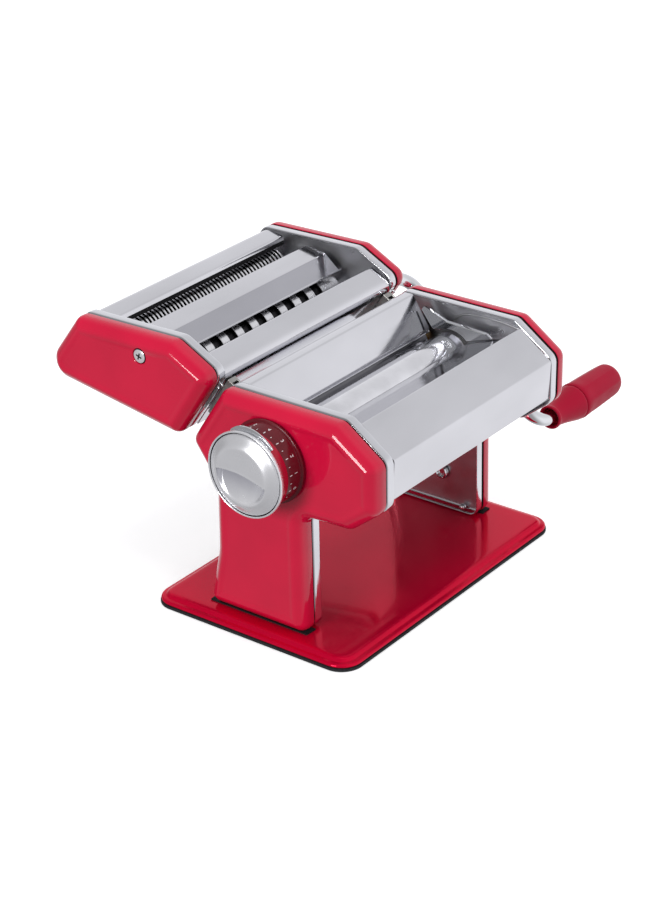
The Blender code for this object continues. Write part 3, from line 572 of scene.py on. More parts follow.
front = sheet("front_panel", "front_sheet", "stand",
      [(-26.3, 118.4), (-53.6, 127.4), (-59.7, 135.3), (-80.2, 119.9), (-79.1, 97.3), (-75.6, 95.2)], [0, 1.4, 0.9, 1.6, 1.2, 0])
# the sheet's rear edge strip by the front roller takes the black gap material: painted shade in the gap
front.data.materials.append(M_GAP_SHADE)
for poly in front.data.polygons:
    if poly.center.y > -0.0269:
        poly.material_index = 1
sheet("rear_panel", "rear_sheet", "stand",
      [(41.2, 104.6), (19.6, 138.2), (13.6, 138.3), (-0.5, 116.0), (1.8, 118.0)], [0, 1.6, 1.3, 0.8, 0])
sheet("front_wiper", "scraper_front", "stand", [(-10.2, 94.4), (-25.0, 86.6), (-30.6, 86.6)], [0, 2.0, 0], 0.8, 72.0, M_SHAFT)
sheet("rear_wiper", "scraper_rear", "stand", [(10.8, 94.4), (20.6, 87.6), (25.4, 87.6)], [0, 2.0, 0], 0.8, 72.0, M_SHAFT)
back_panel = sheet("cutter_back_panel", "cutter_rear_sheet", "cutter_head",
      [(107.4, 148.6), (107.79, 151.3), (108.1, 153.5), (120.5, 155.3), (148.4, 119.9)], [0, 0, 1.2, 4.0, 0])
# a strip along the sheet's lower edge takes the near-black groove steel: painted shade in the slot
back_panel.data.materials.append(M_GROOVE_SHADE)
for poly in back_panel.data.polygons:
    if poly.center.y < 0.1083 and poly.center.z < 0.1513:
        poly.material_index = 1
roof = sheet("cutter_roof_panel", "cutter_roof", "cutter_head",
      [(91.3, 147.4), (91.0, 151.3), (76.7, 149.5), (66.8, 141.2), (64.6, 142.6)], [0, 1.0, 1.4, 0.8, 0])
roof.data.materials.append(M_FOLD_SHADE)
# faces facing front and up take the darker steel copy: painted shade
for poly in roof.data.polygons:
    if poly.normal.y < -0.55 and poly.normal.z > 0.5:
        poly.material_index = 1
sheet("cutter_front_panel", "cutter_front_sheet", "cutter_head",
      [(45.9, 143.4), (43.0, 148.7), (27.6, 140.8), (35.0, 129.6), (51.6, 105.0)], [0, 1.2, 6.5, 3.0, 0])


def comb(name, node, cy, cz, pitch, gap):
    """Stripper comb: a folded bar with a row of fingers between the rings."""
    v, f = folded([(cy + 3.0, cz - 13.2), (cy + 2.4, cz - 16.0), (cy + 5.8, cz - 16.8)], -72.0, 72.0, 1.0, 1.0)
    verts, faces = list(v), list(f)
    x = -70.0
    while x < 70.0:
        w = pitch * gap
        z0, z1 = cz - 13.4, cz - 11.9
        y0, y1 = cy + 2.55, cy + 3.45
        b = len(verts)
        for zz, s in ((z0, 0.0), (z1, 0.25)):
            verts += [(x + s, y0, zz), (x + w - s, y0, zz), (x + w - s, y1 - s, zz), (x + s, y1 - s, zz)]
        faces += [(b, b + 3, b + 2, b + 1), (b + 4, b + 5, b + 6, b + 7), (b, b + 1, b + 5, b + 4), (b + 1, b + 2, b + 6, b + 5),
                  (b + 2, b + 3, b + 7, b + 6), (b + 3, b, b + 4, b + 7)]
        x += pitch
    return piece(name, verts, faces, "cutter_head", M_NYLON, 40.0, None, node)


comb("comb_wide", "cutter_comb_wide", WIDE_F[0], WIDE_F[1], 6.5, 0.5)
comb("comb_narrow", "cutter_comb_narrow", NARROW_F[0], NARROW_F[1], 3.0, 0.45)

# ------------------------------------------------------------------ base
rect = [(-102.2, -68.4, 13.0), (102.2, -68.4, 13.0), (102.2, 68.4, 13.0), (-102.2, 68.4, 13.0)]


def slab(name, rows, body, mat, node, sharp=40.0):
    loops = [[(x, y, z) for x, y in rounded(rect, inset, math.radians(5))] for inset, z in rows]
    v, f = loft(loops)
    return piece(name, v, f, body, mat, sharp, None, node)


slab("base_pad", [(9.0, 0.0), (0.5, 0.0), (0.12, 0.12), (0.0, 0.45), (0.0, 1.35), (0.12, 1.66), (0.5, 1.8), (9.0, 1.8)],
     "stand", M_RUBBER, "base_mat")
slab("base_pressing",
     [(9.5, 5.0), (6.6, 5.0), (6.0, 4.6), (5.6, 3.6), (5.4, 2.4), (5.0, 2.1), (1.2, 2.1), (0.75, 2.2), (0.5, 2.5), (0.45, 3.0),
      (0.6, 3.45), (0.95, 3.85), (1.4, 4.1), (1.95, 4.22), (2.9, 4.28), (3.3, 4.36), (3.6, 4.6), (3.85, 4.95), (4.15, 5.35), (4.6, 5.75),
      (5.2, 6.1), (5.9, 6.33), (6.7, 6.45), (7.8, 6.5), (10.0, 6.5)],
     "stand", M_BASE, "base_plate")

# ------------------------------------------------------------------ smooth rollers
ROLLER_R, ROLLER_HALF = 13.0, 73.2


def roller(name, node, body, at, left, right, socket, mat):
    if socket:
        prof = [(0.0, 77.0), (4.0, 77.2), (4.25, 77.6), (4.25, 91.7), (4.6, 92.2), (5.7, 92.3), (6.1, 91.9), (6.1, ROLLER_HALF)]
    else:
        prof = [(0.0, right), (3.6, right), (4.0, right - 0.4), (4.0, ROLLER_HALF)]
    prof += [(11.9, ROLLER_HALF), (12.5, ROLLER_HALF - 0.1), (12.85, ROLLER_HALF - 0.35), (13.0, ROLLER_HALF - 0.8),
             (13.0, 40.0), (13.0, 0.0), (13.0, -40.0), (13.0, -ROLLER_HALF + 0.8), (12.85, -ROLLER_HALF + 0.35), (12.5, -ROLLER_HALF + 0.1),
             (11.9, -ROLLER_HALF), (4.0, -ROLLER_HALF), (4.0, left + 0.4), (3.6, left), (0.0, left)]
    v, f = lathe(prof, at, 128)
    return piece(name, v, f, body, mat, 38.0, None, node)


# the rear roller takes the nearly black steel: painted shade and reflection
roller("rear_roll", "roller_rear", "rear_roller", REAR_AX, -80.0, 92.3, True, M_REAR_ROLLER_SHADE)
roller("front_roll", "roller_front", "front_roller", FRONT_AX, -79.8, 89.4, False, M_ROLLER)


# ------------------------------------------------------------------ cutters
def shaft_end(socket):
    if socket:
        return [(0.0, 77.0), (4.0, 77.2), (4.25, 77.6), (4.25, 91.7), (4.6, 92.2), (5.7, 92.3), (6.1, 91.9), (6.1, 73.0)]
    return [(0.0, 88.6), (3.7, 88.6), (4.1, 88.2), (4.1, 73.0)]


def ringed(pitch, offset, width, r_ring, r_core, left, socket, chamfer=0.2):
    end = 73.0
    pts = shaft_end(socket) + [(r_core, end)]
    n = int(end / pitch) + 2
    rings = [k * pitch + offset for k in range(-n, n + 1)]
    rings = sorted([c for c in rings if abs(c) + width / 2 < end - 0.4], reverse=True)
    for c in rings:
        a, b = c + width / 2, c - width / 2
        pts += [(r_core, a), (r_ring - chamfer, a), (r_ring, a - chamfer), (r_ring, b + chamfer), (r_ring - chamfer, b), (r_core, b)]
    return pts + [(r_core, -end), (4.1, -end), (4.1, left + 0.4), (3.7, left), (0.0, left)]


def cutter(name, node, body, at, profile, seg, core, ring_mat, groove_shade_mat):
    """Ringed cutter; the groove floors and flanks below the rim take the second material, the near-black steel that
    paints shade into the grooves, except on the front wide cutter.
    """
    v, f = lathe(profile, at, seg)
    idx = []
    for q in f:
        rs = [math.hypot(v[i][1] - at[0], v[i][2] - at[1]) for i in q]
        xs = [abs(v[i][0]) for i in q]
        idx.append(1 if max(xs) < 72.95 and min(rs) < core + 0.05 and max(rs) > 5.0 else 0)
    return piece(name, v, f, body, [ring_mat, groove_shade_mat], 30.0, idx, node)


cutter("wide_cutter_a", "wide_cutter_front", "wide_front", WIDE_F, ringed(13.0, 0.0, 6.15, 10.4, 9.0, -80.6, True, 0.18), 96,
       9.0, M_CUTTER, M_CUTTER)
# the rear wide and both narrow cutters get the near-black groove steel: painted shade in their grooves
cutter("wide_cutter_b", "wide_cutter_rear", "wide_rear", WIDE_R, ringed(13.0, 6.5, 6.15, 10.4, 8.3, -80.6, False, 0.18), 96,
       8.3, M_CUTTER, M_GROOVE_SHADE)
cutter("narrow_cutter_a", "narrow_cutter_front", "narrow_front", NARROW_F, ringed(3.0, 0.0, 1.38, 10.4, 8.4, -88.6, True, 0.12), 64,
       8.4, M_CUTTER, M_GROOVE_SHADE)
cutter("narrow_cutter_b", "narrow_cutter_rear", "narrow_rear", NARROW_R, ringed(3.0, 1.5, 1.38, 10.4, 8.4, -88.6, False, 0.12), 64,
       8.4, M_CUTTER, M_GROOVE_SHADE)

# ------------------------------------------------------------------ rods and bushes
for name, node, body, at in (("front_stay", "tie_rod_front", "stand", (-67.0, 108.0)), ("rear_stay", "tie_rod_rear", "stand", (30.0, 104.5)),
                             ("cutter_stay", "cutter_tie_rod", "cutter_head", (132.0, 128.0))):
    prof = [(0.0, 79.2), (2.6, 79.2), (3.0, 78.8), (3.0, -78.8), (2.6, -79.2), (0.0, -79.2)]
    v, f = lathe(prof, at, 32)
    piece(name, v, f, body, M_SHAFT, 40.0, None, node)
for side, tag in ((-1, "left"), (1, "right")):
    bi, bo = (4.3, 6.3) if side < 0 else (6.35, 8.2)
    xb = FRAME_OUT - 2.0 if side > 0 else -(FRAME_OUT - 0.2)
    prof = [(bo - 0.2, xb + 3.0), (bo, xb + 2.8), (bo, xb - 1.4), (bo - 0.2, xb - 1.6), (bi + 0.2, xb - 1.6), (bi, xb - 1.4), (bi, xb + 2.8), (bi + 0.2, xb + 3.0)]
    v, f = lathe(prof, REAR_AX, 48, True)
    piece("roller_bearing_" + tag, v, f, "stand", M_BRONZE, 40.0, None, "roller_bush_" + tag)
    xb = side * 77.6
    prof = [(9.0, xb + 3.2), (9.2, xb + 3.0), (9.2, xb - 3.0), (9.0, xb - 3.2), (4.45, xb - 3.2), (4.25, xb - 3.0), (4.25, xb + 3.0), (4.45, xb + 3.2)]
    v, f = lathe(prof, FRONT_AX, 48, True)
    piece("eccentric_ring_" + tag, v, f, "roller_carrier", M_GEAR, 40.0, None, "eccentric_bush_" + tag)

# ------------------------------------------------------------------ hopper end guides
def guide(name, node, side):
    pts = [(-1.6, 121.4)]
    for k in range(26):
        a = math.radians(60 + 3.0 * k)
        pts.append((FRONT_AX[0] - 1.3 + 15.2 * math.cos(a), FRONT_AX[1] + 15.2 * math.sin(a)))
    pts += [(-27.4, 119.9), (-41.5, 124.5), (-38.6, 127.0), (-11.4, 128.2), (4.4, 134.0), (6.2, 131.6)]
    n = len(pts)
    cx = sum(p[0] for p in pts) / n
    cz = sum(p[1] for p in pts) / n

    def ring_at(x, k):
        out = []
        for i, p in enumerate(pts):
            a, b = Vector(pts[i - 1]), Vector(pts[(i + 1) % n])
            t = (b - a).normalized()
            nrm = Vector((-t.y, t.x))
            out.append((x, p[0] + nrm.x * k, p[1] + nrm.y * k))
        return out
    area = sum(pts[i][0] * pts[(i + 1) % n][1] - pts[(i + 1) % n][0] * pts[i][1] for i in range(n))
    s = 1.0 if area > 0 else -1.0
    loops = [ring_at(side * 74.4, 0.25 * s), ring_at(side * 74.2, 0.0), ring_at(side * 72.85, 0.0), ring_at(side * 72.6, 0.25 * s)]
    verts, faces = loft(loops)
    # turned-in flange along the top edge
    top = [(-38.6, 127.0), (-11.4, 128.2)]
    for (ya, za), (yb, zb) in zip(top, top[1:]):
        prof = [(0.0, -0.75), (0.0, 0.0), (-0.4, 0.4), (-2.4, 0.4), (-2.8, 0.1), (-2.8, -0.35), (-2.4, -0.6), (-0.6, -0.75)]
        b = len(verts)
        m = len(prof)
        for (yy, zz) in ((ya, za), (yb, zb)):
            for px, pz in prof:
                verts.append((side * (74.3 + px), yy, zz + pz))
        for j in range(m):
            k = (j + 1) % m
            faces.append((b + j, b + k, b + m + k, b + m + j))
        faces.append(tuple(b + j for j in range(m)))
        faces.append(tuple(b + m + j for j in reversed(range(m))))
    return piece(name, verts, faces, "stand", M_CHROME, 30.0, None, node)


guide("hopper_guide_left", "end_guide_left", -1)
guide("hopper_guide_right", "end_guide_right", 1)


# ------------------------------------------------------------------ screws
def cross_tool(x, at, length, width, depth, side):
    verts, faces = [], []
    for rot in (0.35, 0.35 + math.pi / 2):
        b = len(verts)
        for dx, k in ((0.6 * side, 1.0), (-depth * side, 0.55)):
            for u, v in ((-1, -1), (1, -1), (1, 1), (-1, 1)):
                a, c = u * length / 2 * k, v * width / 2 * (0.6 + 0.4 * k)
                verts.append((x + dx, at[0] + a * math.cos(rot) - c * math.sin(rot), at[1] + a * math.sin(rot) + c * math.cos(rot)))
        faces += [(b, b + 1, b + 2, b + 3), (b + 4, b + 7, b + 6, b + 5)]
        for j in range(4):
            k = (j + 1) % 4
            faces.append((b + j, b + 4 + j, b + 4 + k, b + k))
    return verts, faces


for side, tag in ((-1, "left"), (1, "right")):
    d = side * (COVER_X + 10.66 + 0.1)
    at = (75.7, 145.4)
    prof = [(0.0, d + side * 0.15), (2.2, d + side * 0.12), (3.3, d - side * 0.05), (3.85, d - side * 0.3), (4.0, d - side * 0.6),
            (3.9, d - side * 1.0), (1.9, d - side * 2.4), (1.9, d - side * 9.2), (0.0, d - side * 9.6)]
    v, f = lathe(prof, at, 40)
    # the outer edge ring of the head takes the black gap material: painted shade where the head sits in its hole
    idx = [1 if min(math.hypot(v[i][1] - at[0], v[i][2] - at[1]) for i in q) > 3.7 else 0 for q in f]
    ob = piece("cutter_screw_head_" + tag, v, f, "cutter_head", [M_SCREW, M_GAP_SHADE], 34.0, idx, "cutter_screw_" + tag)
    v, f = cross_tool(d + side * 0.12, at, 4.6, 1.05, 1.5, side)
    b = len(v) // 2
    cut(ob, tool(v[:b], f[:len(f) // 2]))
    cut(ob, tool(v[b:], [tuple(i - b for i in q) for q in f[len(f) // 2:]]))
    # the walls of the cross recess take the black gap material: painted shade in the recess
    for poly in ob.data.polygons:
        c = poly.center
        if math.hypot(c.y / MM - at[0], c.z / MM - at[1]) < 2.4 and 0.2 < side * (d - c.x / MM) < 1.6:
            poly.material_index = 1
    # cover screw: cup washer and screw on the inner face of the leg
    x0 = side * (FRAME_OUT - 1.9)
    at = (-4.0, 28.0)
    prof = [(0.0, x0 - side * 0.5), (1.6, x0 - side * 0.5), (1.9, x0 - side * 0.9), (2.3, x0 - side * 0.9), (2.6, x0 - side * 1.9),
            (3.1, x0 - side * 2.3), (3.8, x0 - side * 2.25), (4.4, x0 - side * 1.6), (4.6, x0 - side * 0.6), (4.6, x0 + side * 0.2),
            (2.2, x0 + side * 0.4), (2.2, x0 + side * 7.2), (0.0, x0 + side * 7.4)]
    v, f = lathe(prof, at, 40)
    piece("leg_screw_" + tag, v, f, "stand", M_CHROME, 40.0, None, "cover_screw_" + tag)

for tag, x, y in (("left_front", -77.2, -20.0), ("left_rear", -77.2, 24.0), ("right_front", 77.2, -20.0), ("right_rear", 77.2, 24.0)):
    prof = [(0.0, 11.35), (0.9, 11.3), (1.6, 11.0), (1.95, 10.5), (2.0, 10.0), (2.0, 9.2), (1.6, 8.8), (0.0, 8.8)]
    verts, faces = lathe([(r, 0.0) if False else (r, h) for r, h in prof], (0.0, 0.0), 28)
    verts = [(v[1] + x, v[2] + y, v[0]) for v in verts]
    ob = piece("foot_screw_head_" + tag, verts, faces, "stand", M_CHROME, 40.0, None, "foot_screw_" + tag)
    for rot in (0.4, 0.4 + math.pi / 2):
        vv = []
        for zz, k in ((11.8, 1.0), (10.4, 0.6)):
            for u, w in ((-1, -1), (1, -1), (1, 1), (-1, 1)):
                a, c = u * 1.2 * k, w * 0.3
                vv.append((x + a * math.cos(rot) - c * math.sin(rot), y + a * math.sin(rot) + c * math.cos(rot), zz))
        cut(ob, tool(vv, [(0, 1, 2, 3), (4, 7, 6, 5), (0, 4, 5, 1), (1, 5, 6, 2), (2, 6, 7, 3), (3, 7, 4, 0)]))

# ------------------------------------------------------------------ knob
C = FRONT_AX
prof = [(0.0, -82.6), (13.1, -82.6), (13.5, -83.0), (13.5, -85.2), (13.1, -85.6), (5.2, -85.6), (5.2, -94.2), (4.8, -94.6), (4.0, -94.6),
        (4.0, -108.8), (3.6, -109.2), (0.0, -109.2)]
v, f = lathe(prof, C, 48)
piece("knob_shaft", v, f, "knob_spindle", M_SHAFT, 40.0, None, "knob_spindle")

xb = -(FRAME_OUT + 0.3 + COVER_DEPTH + 0.4)      # dial's inner end, just off the cover
prof = [(23.3, xb), (23.9, xb - 0.25), (24.0, xb - 0.8), (23.8, xb - 1.4), (23.2, xb - 1.7), (22.5, xb - 1.9), (22.3, xb - 2.4),
        (22.3, -104.6), (22.18, -104.8), (22.18, -105.0), (22.35, -105.2), (22.35, -108.4), (22.1, -109.2), (21.3, -109.8),
        (4.3, -109.8), (4.3, -108.0), (9.5, -108.0), (9.5, xb + 0.0)]
v, f = lathe(prof, C, 144, True)
# the barrel next to the cover takes the dark red as painted shade; the band by the cap takes the brighter red
idx = [1 if max(v[i][0] for i in q) < -104.9 else 0 for q in f]
piece("dial_barrel", v, f, "knob", [M_DIAL_SHADE, M_DIALRING], 34.0, idx, "knob_dial")


def smooth01(a, b, x):
    t = max(0.0, min(1.0, (x - a) / (b - a)))
    return t * t * (3 - 2 * t)


def cap_mesh():
    """Chrome cap: rolled rim, fine groove painted black as its shade, conical ring and a disc with a half-moon finger
    scoop whose floor carries painted shade."""
    out = [(0.0, 111.2), (23.3, 111.2), (24.1, 111.45), (24.5, 112.0), (24.5, 113.0), (24.42, 113.4), (24.15, 113.68), (23.8, 113.72),
           (23.55, 113.55), (23.45, 113.1), (23.4, 112.4), (22.95, 112.35), (22.85, 113.0), (22.7, 113.3), (22.4, 113.55), (21.7, 113.95),
           (20.8, 114.5), (19.8, 115.15), (18.9, 115.75), (18.1, 116.25), (17.4, 116.65), (16.8, 116.93), (16.2, 117.11), (15.6, 117.19)]
    radii = [15.0 - 0.375 * i for i in range(40)]
    prof = out + [(r, KNOB_FACE) for r in radii] + [(0.0, KNOB_FACE)]
    seg = 192
    verts, faces = lathe([(r, -x) for r, x in prof], C, seg)
    tilt = math.radians(-4.0)
    res = []
    for (x, y, z) in verts:
        dy, dz = -(y - C[0]), z - C[1]          # dy to the viewer's right, dz up
        r = math.hypot(dy, dz)
        if -x > 116.0 and r < 17.2:
            u = dy * math.cos(tilt) + dz * math.sin(tilt)
            w = -dy * math.sin(tilt) + dz * math.cos(tilt)
            edge = -1.4 + 3.2 * math.cos((u + 3.0) / 16.7 * 1.35)
            q = edge - w
            if q > 0:
                deep = smooth01(0.0, 0.9, q) * max(0.0, 3.0 - 0.17 * q) * smooth01(16.6, 13.6, r)
                x += deep
            x -= 0.12 * smooth01(1.6, 0.1, abs(q)) * (1.0 if q < 0 else 0.0)
        res.append((x, y, z))
    return res, faces


v, f = cap_mesh()
# the rim groove takes the black gap material and the scoop floor the darkened chrome: both painted shade
idx = []
for q in f:
    rs = [math.hypot(v[i][1] - C[0], v[i][2] - C[1]) for i in q]
    xs = [-v[i][0] for i in q]
    if min(rs) > 22.9 and max(rs) < 23.5 and max(xs) < 113.2:
        idx.append(1)
    elif max(rs) < 16.5 and min(xs) < KNOB_FACE - 0.12 and max(xs) > 113.5:
        idx.append(2)
    else:
        idx.append(0)
piece("knob_face", v, f, "knob", [M_CAP, M_GAP_SHADE, M_SCOOP_SHADE], 44.0, idx, "knob_cap")

POINTER = ((58, 22.0), (66, 25.0), (78, 26.5), (90, 26.7), (102, 26.6), (114, 26.2), (124, 25.7), (133, 25.2), (134, 17.0))
pts = [(10.0 * math.cos(math.radians(a)), 10.0 * math.sin(math.radians(a))) for a in range(150, 409, 6)]
for (a0, r0), (a1, r1) in zip(POINTER, POINTER[1:]):
    for k in range(4):
        t = k / 4.0
        a, r = math.radians(a0 + (a1 - a0) * t), r0 + (r1 - r0) * t
        pts.append((r * math.cos(a), r * math.sin(a)))
pts.append((17.0 * math.cos(math.radians(134)), 17.0 * math.sin(math.radians(134))))
loops = []
for x, k in ((-110.1, 0.985), (-110.22, 1.0), (-110.78, 1.0), (-110.9, 0.985)):
    loops.append([(x, C[0] + p[0] * k, C[1] + p[1] * k) for p in pts])
v, f = loft(loops)
piece("dial_pointer", v, f, "knob", M_CHROME, 40.0, None, "knob_pointer")


def dial_marks():
    """Raised white digits and ticks wrapped round the dial barrel."""
    verts, faces = [], []
    radius = 22.3
    for k in range(10):
        angle = math.radians(200.0 - 24.0 * k)
        cu = bpy.data.curves.new("digit", "FONT")
        cu.body = str(k)
        cu.size = 3.3
        cu.extrude = 0.03
        cu.align_x = "CENTER"
        cu.align_y = "CENTER"
        cu.resolution_u = 3
        ob = bpy.data.objects.new("digit", cu)
        scene.collection.objects.link(ob)
        bpy.context.view_layer.update()
        me = bpy.data.meshes.new_from_object(ob.evaluated_get(bpy.context.evaluated_depsgraph_get()))
        b = len(verts)
        for p in me.vertices:
            # the digit's foot points at the cover, its right runs down the front of the dial
            a = angle + p.co.x / radius
            r = radius + 0.045 + p.co.z
            verts.append((-98.2 - p.co.y, C[0] + r * math.cos(a), C[1] + r * math.sin(a)))
        faces += [tuple(b + i for i in q.vertices) for q in me.polygons]
        bpy.data.objects.remove(ob, do_unlink=True)
        for a0, w, x0, x1 in ((angle, 0.22, -103.4, -101.6), (angle + math.radians(12.0), 0.15, -103.2, -102.1)):
            b = len(verts)
            for r in (radius - 0.02, radius + 0.07):
                for x, s in ((x0, -w), (x1, -w), (x1, w), (x0, w)):
                    a = a0 + s / radius
                    verts.append((x, C[0] + r * math.cos(a), C[1] + r * math.sin(a)))
            faces += [(b, b + 1, b + 2, b + 3), (b + 4, b + 7, b + 6, b + 5), (b, b + 4, b + 5, b + 1), (b + 1, b + 5, b + 6, b + 2),
                      (b + 2, b + 6, b + 7, b + 3), (b + 3, b + 7, b + 4, b)]
    return verts, faces


v, f = dial_marks()
ob = piece("dial_numbers", v, f, "knob", M_INK, 40.0)

# ------------------------------------------------------------------ crank
def tube(path, radius, seg=28, end_round=0.5):
    """Round bar with softly rounded ends along a 3-D path."""
    pts = [Vector(p) for p in path]
    n = len(pts)
    tang = [(pts[min(n - 1, i + 1)] - pts[max(0, i - 1)]).normalized() for i in range(n)]
    up = tang[0].orthogonal().normalized()
    loops = []
    for i in range(n):
        if i:
            up = tang[i - 1].rotation_difference(tang[i]) @ up
        side = tang[i].cross(up).normalized()
        rings = [(0.0, radius)]
        if i == 0:
            rings = [(0.0, radius - end_round), (end_round * 0.3, radius - end_round * 0.3), (end_round, radius)]
        if i == n - 1:
            rings = [(-end_round, radius), (-end_round * 0.3, radius - end_round * 0.3), (0.0, radius - end_round)]
        for off, r in rings:
            c = pts[i] + tang[i] * off
            loops.append([tuple(c + (up * math.cos(TAU * j / seg) + side * math.sin(TAU * j / seg)) * r) for j in range(seg)])
    return loft(loops)


hub = Vector((ARM_X, WIDE_F[0], WIDE_F[1]))
arm = Vector((0.0, GRIP_AX[0] - WIDE_F[0], GRIP_AX[1] - WIDE_F[1]))
arm_len = arm.length
arm.normalize()
ex = Vector((1.0, 0.0, 0.0))
BEND_R = 11.0
path = [Vector((77.6, WIDE_F[0], WIDE_F[1])), Vector((95.0, WIDE_F[0], WIDE_F[1]))]
c0 = hub - ex * BEND_R + arm * BEND_R
for k in range(15):
    a = math.radians(90.0 * k / 14)
    path.append(c0 - arm * BEND_R * math.cos(a) + ex * BEND_R * math.sin(a))
path.append(hub + arm * arm_len * 0.5)
c0 = hub + arm * (arm_len - BEND_R) + ex * BEND_R
for k in range(15):
    a = math.radians(90.0 * k / 14)
    path.append(c0 - ex * BEND_R * math.cos(a) + arm * BEND_R * math.sin(a))
path.append(Vector((193.0, GRIP_AX[0], GRIP_AX[1])))
v, f = tube(path, 4.0, 32)
piece("crank_bar", v, f, "crank", M_CHROME, 40.0, None, "crank_rod")


def flats(n, mix, x0, x1, turn=0.0):
    def fn(r, x, a):
        k = smooth01(x0, x0 + 5.0, x) * (1.0 - smooth01(x1 - 4.0, x1, x))
        b = ((a + turn) % (TAU / n)) - TAU / (2 * n)
        poly = math.cos(math.pi / n) / math.cos(b)
        return r * (1.0 - k * mix * (1.0 - poly))
    return fn


prof = [(5.9, 138.0), (5.9, 132.6), (6.2, 131.7), (6.7, 131.5), (7.15, 131.7), (7.4, 132.3), (7.35, 133.4), (7.05, 133.9), (6.95, 134.6),
        (7.0, 136.5), (7.4, 139.5), (8.1, 143.5), (9.0, 147.6), (9.9, 151.6), (10.6, 154.6), (10.95, 156.2), (11.0, 157.0), (10.75, 157.4),
        (10.2, 157.5), (4.35, 157.5), (4.35, 138.0)]
v, f = lathe(prof, GRIP_AX, 72, True)
piece("grip_ferrule", v, f, "grip", M_GRIP, 40.0, None, "grip_collar")
prof = [(0.0, 201.0), (3.2, 200.95), (6.2, 200.6), (8.4, 199.7), (9.7, 198.3), (10.35, 196.6), (10.7, 194.4), (10.9, 191.5), (11.1, 186.0), (11.35, 178.0),
        (11.55, 170.0), (11.6, 164.0), (11.55, 160.4), (11.3, 158.8), (10.9, 158.1), (10.3, 157.85), (4.35, 157.8), (4.35, 194.0), (0.0, 194.0)]
v, f = lathe(prof, GRIP_AX, 96, False, 0.0, flats(8, 0.62, 159.5, 199.0, 0.25))
piece("grip_handle", v, f, "grip", M_GRIP, 40.0, None, "grip_body")

# ------------------------------------------------------------------ black strips under the covers' feet: painted shade in the gap to the base
for side, tag in ((-1, "left"), (1, "right")):
    verts = []
    for z, k in ((6.45, 0.0), (7.3, 0.0)):
        for x, y in ((81.2, -31.7), (88.9, -31.4), (88.9, 35.5), (81.2, 35.9)):
            verts.append((side * x, y, z))
    # black strip in the gap under the cover's foot: painted shade
    ob = piece("foot_gap_shade_" + tag, verts, [(0, 1, 2, 3), (4, 7, 6, 5), (0, 4, 5, 1), (1, 5, 6, 2), (2, 6, 7, 3), (3, 7, 4, 0)],
               "stand", M_GAP_SHADE, 40.0)

# ------------------------------------------------------------------ pressed edge above the roller bearings, on the inner walls
def through(pts, per=8):
    """Smooth curve through points (Catmull-Rom)."""
    out = []
    ext = [pts[0]] + list(pts) + [pts[-1]]
    for i in range(1, len(ext) - 2):
        p0, p1, p2, p3 = (Vector(ext[i + k]) for k in (-1, 0, 1, 2))
        for k in range(per):
            t = k / per
            out.append(0.5 * (2 * p1 + (p2 - p0) * t + (2 * p0 - 5 * p1 + 4 * p2 - p3) * t * t + (3 * p1 - p0 - 3 * p2 + p3) * t ** 3))
    out.append(Vector(pts[-1]))
    return out


for side, tag in ((-1, "left"), (1, "right")):
    line = through([(-9.6, 122.6), (-10.9, 126.0), (-15.4, 130.1), (-20.8, 132.6), (-32.3, 133.7), (-45.0, 133.4), (-55.8, 132.0)])
    v, f = tube([(side * 79.75, p[0], p[1]) for p in line], 0.85, 12, 0.2)
    ob = piece("bearing_pressing_" + tag, v, f, "stand", M_SHAFT, 40.0)

# ------------------------------------------------------------------ small hook where the head meets the body
for side, tag in ((-1, "left"), (1, "right")):
    cy, cz = 30.9, 134.4
    pathh = []
    for k in range(17):
        a = math.radians(-70 + 250 * k / 16.0)
        pathh.append((side * 78.4, cy + 1.7 * math.cos(a), cz + 1.7 * math.sin(a)))
    v, f = tube(pathh, 0.5, 12, 0.15)
    ob = piece("rim_curl_" + tag, v, f, "cutter_head", M_CHROME, 40.0)

# ------------------------------------------------------------------ carried-over parts
KEEP = {"rail_left": M_SHAFT, "rail_right": M_SHAFT, "rail_hook_left": M_GEAR, "rail_hook_right": M_GEAR,
        "gear_rear": M_GEAR, "gear_front": M_GEAR, "wide_gear_front": M_GEAR, "wide_gear_rear": M_GEAR,
        "narrow_gear_front": M_GEAR, "narrow_gear_rear": M_GEAR, "knob_spring": M_SPRING}
for node, mat in KEEP.items():
    ob = NODES[node]
    ob.data.materials.clear()
    ob.data.materials.append(mat)
    if node != "knob_spring":
        weld = ob.modifiers.new("weld", "WELD")
        weld.merge_threshold = 0.00001
        bev = ob.modifiers.new("edge", "BEVEL")
        bev.width = 0.00015
        bev.segments = 2
        bev.limit_method = "ANGLE"
        bev.angle_limit = math.radians(40)
        bev.use_clamp_overlap = True
for node, ob in NODES.items():
    if not ob.hide_render and node not in KEEP:
        ob.data.materials.clear()
        ob.data.materials.append(M_SHAFT)

# ------------------------------------------------------------------ floor, light and camera
me = bpy.data.meshes.new("floor")
me.from_pydata([(-14, -14, -0.0003), (14, -14, -0.0003), (14, 14, -0.0003), (-14, 14, -0.0003)], [], [(0, 1, 2, 3)])
floor = bpy.data.objects.new("floor", me)
scene.collection.objects.link(floor)
ff = Finish("white_sweep", (0.86, 0.86, 0.865), 0.6)
ff.bsdf.inputs["Emission Color"].default_value = (1.0, 1.0, 1.0, 1.0)
ff.bsdf.inputs["Emission Strength"].default_value = 0.50
ff.bsdf.inputs["Specular IOR Level"].default_value = 0.0
me.materials.append(ff.mat)
floor.visible_glossy = False
floor.visible_diffuse = False
floor.visible_transmission = False
floor.visible_shadow = False

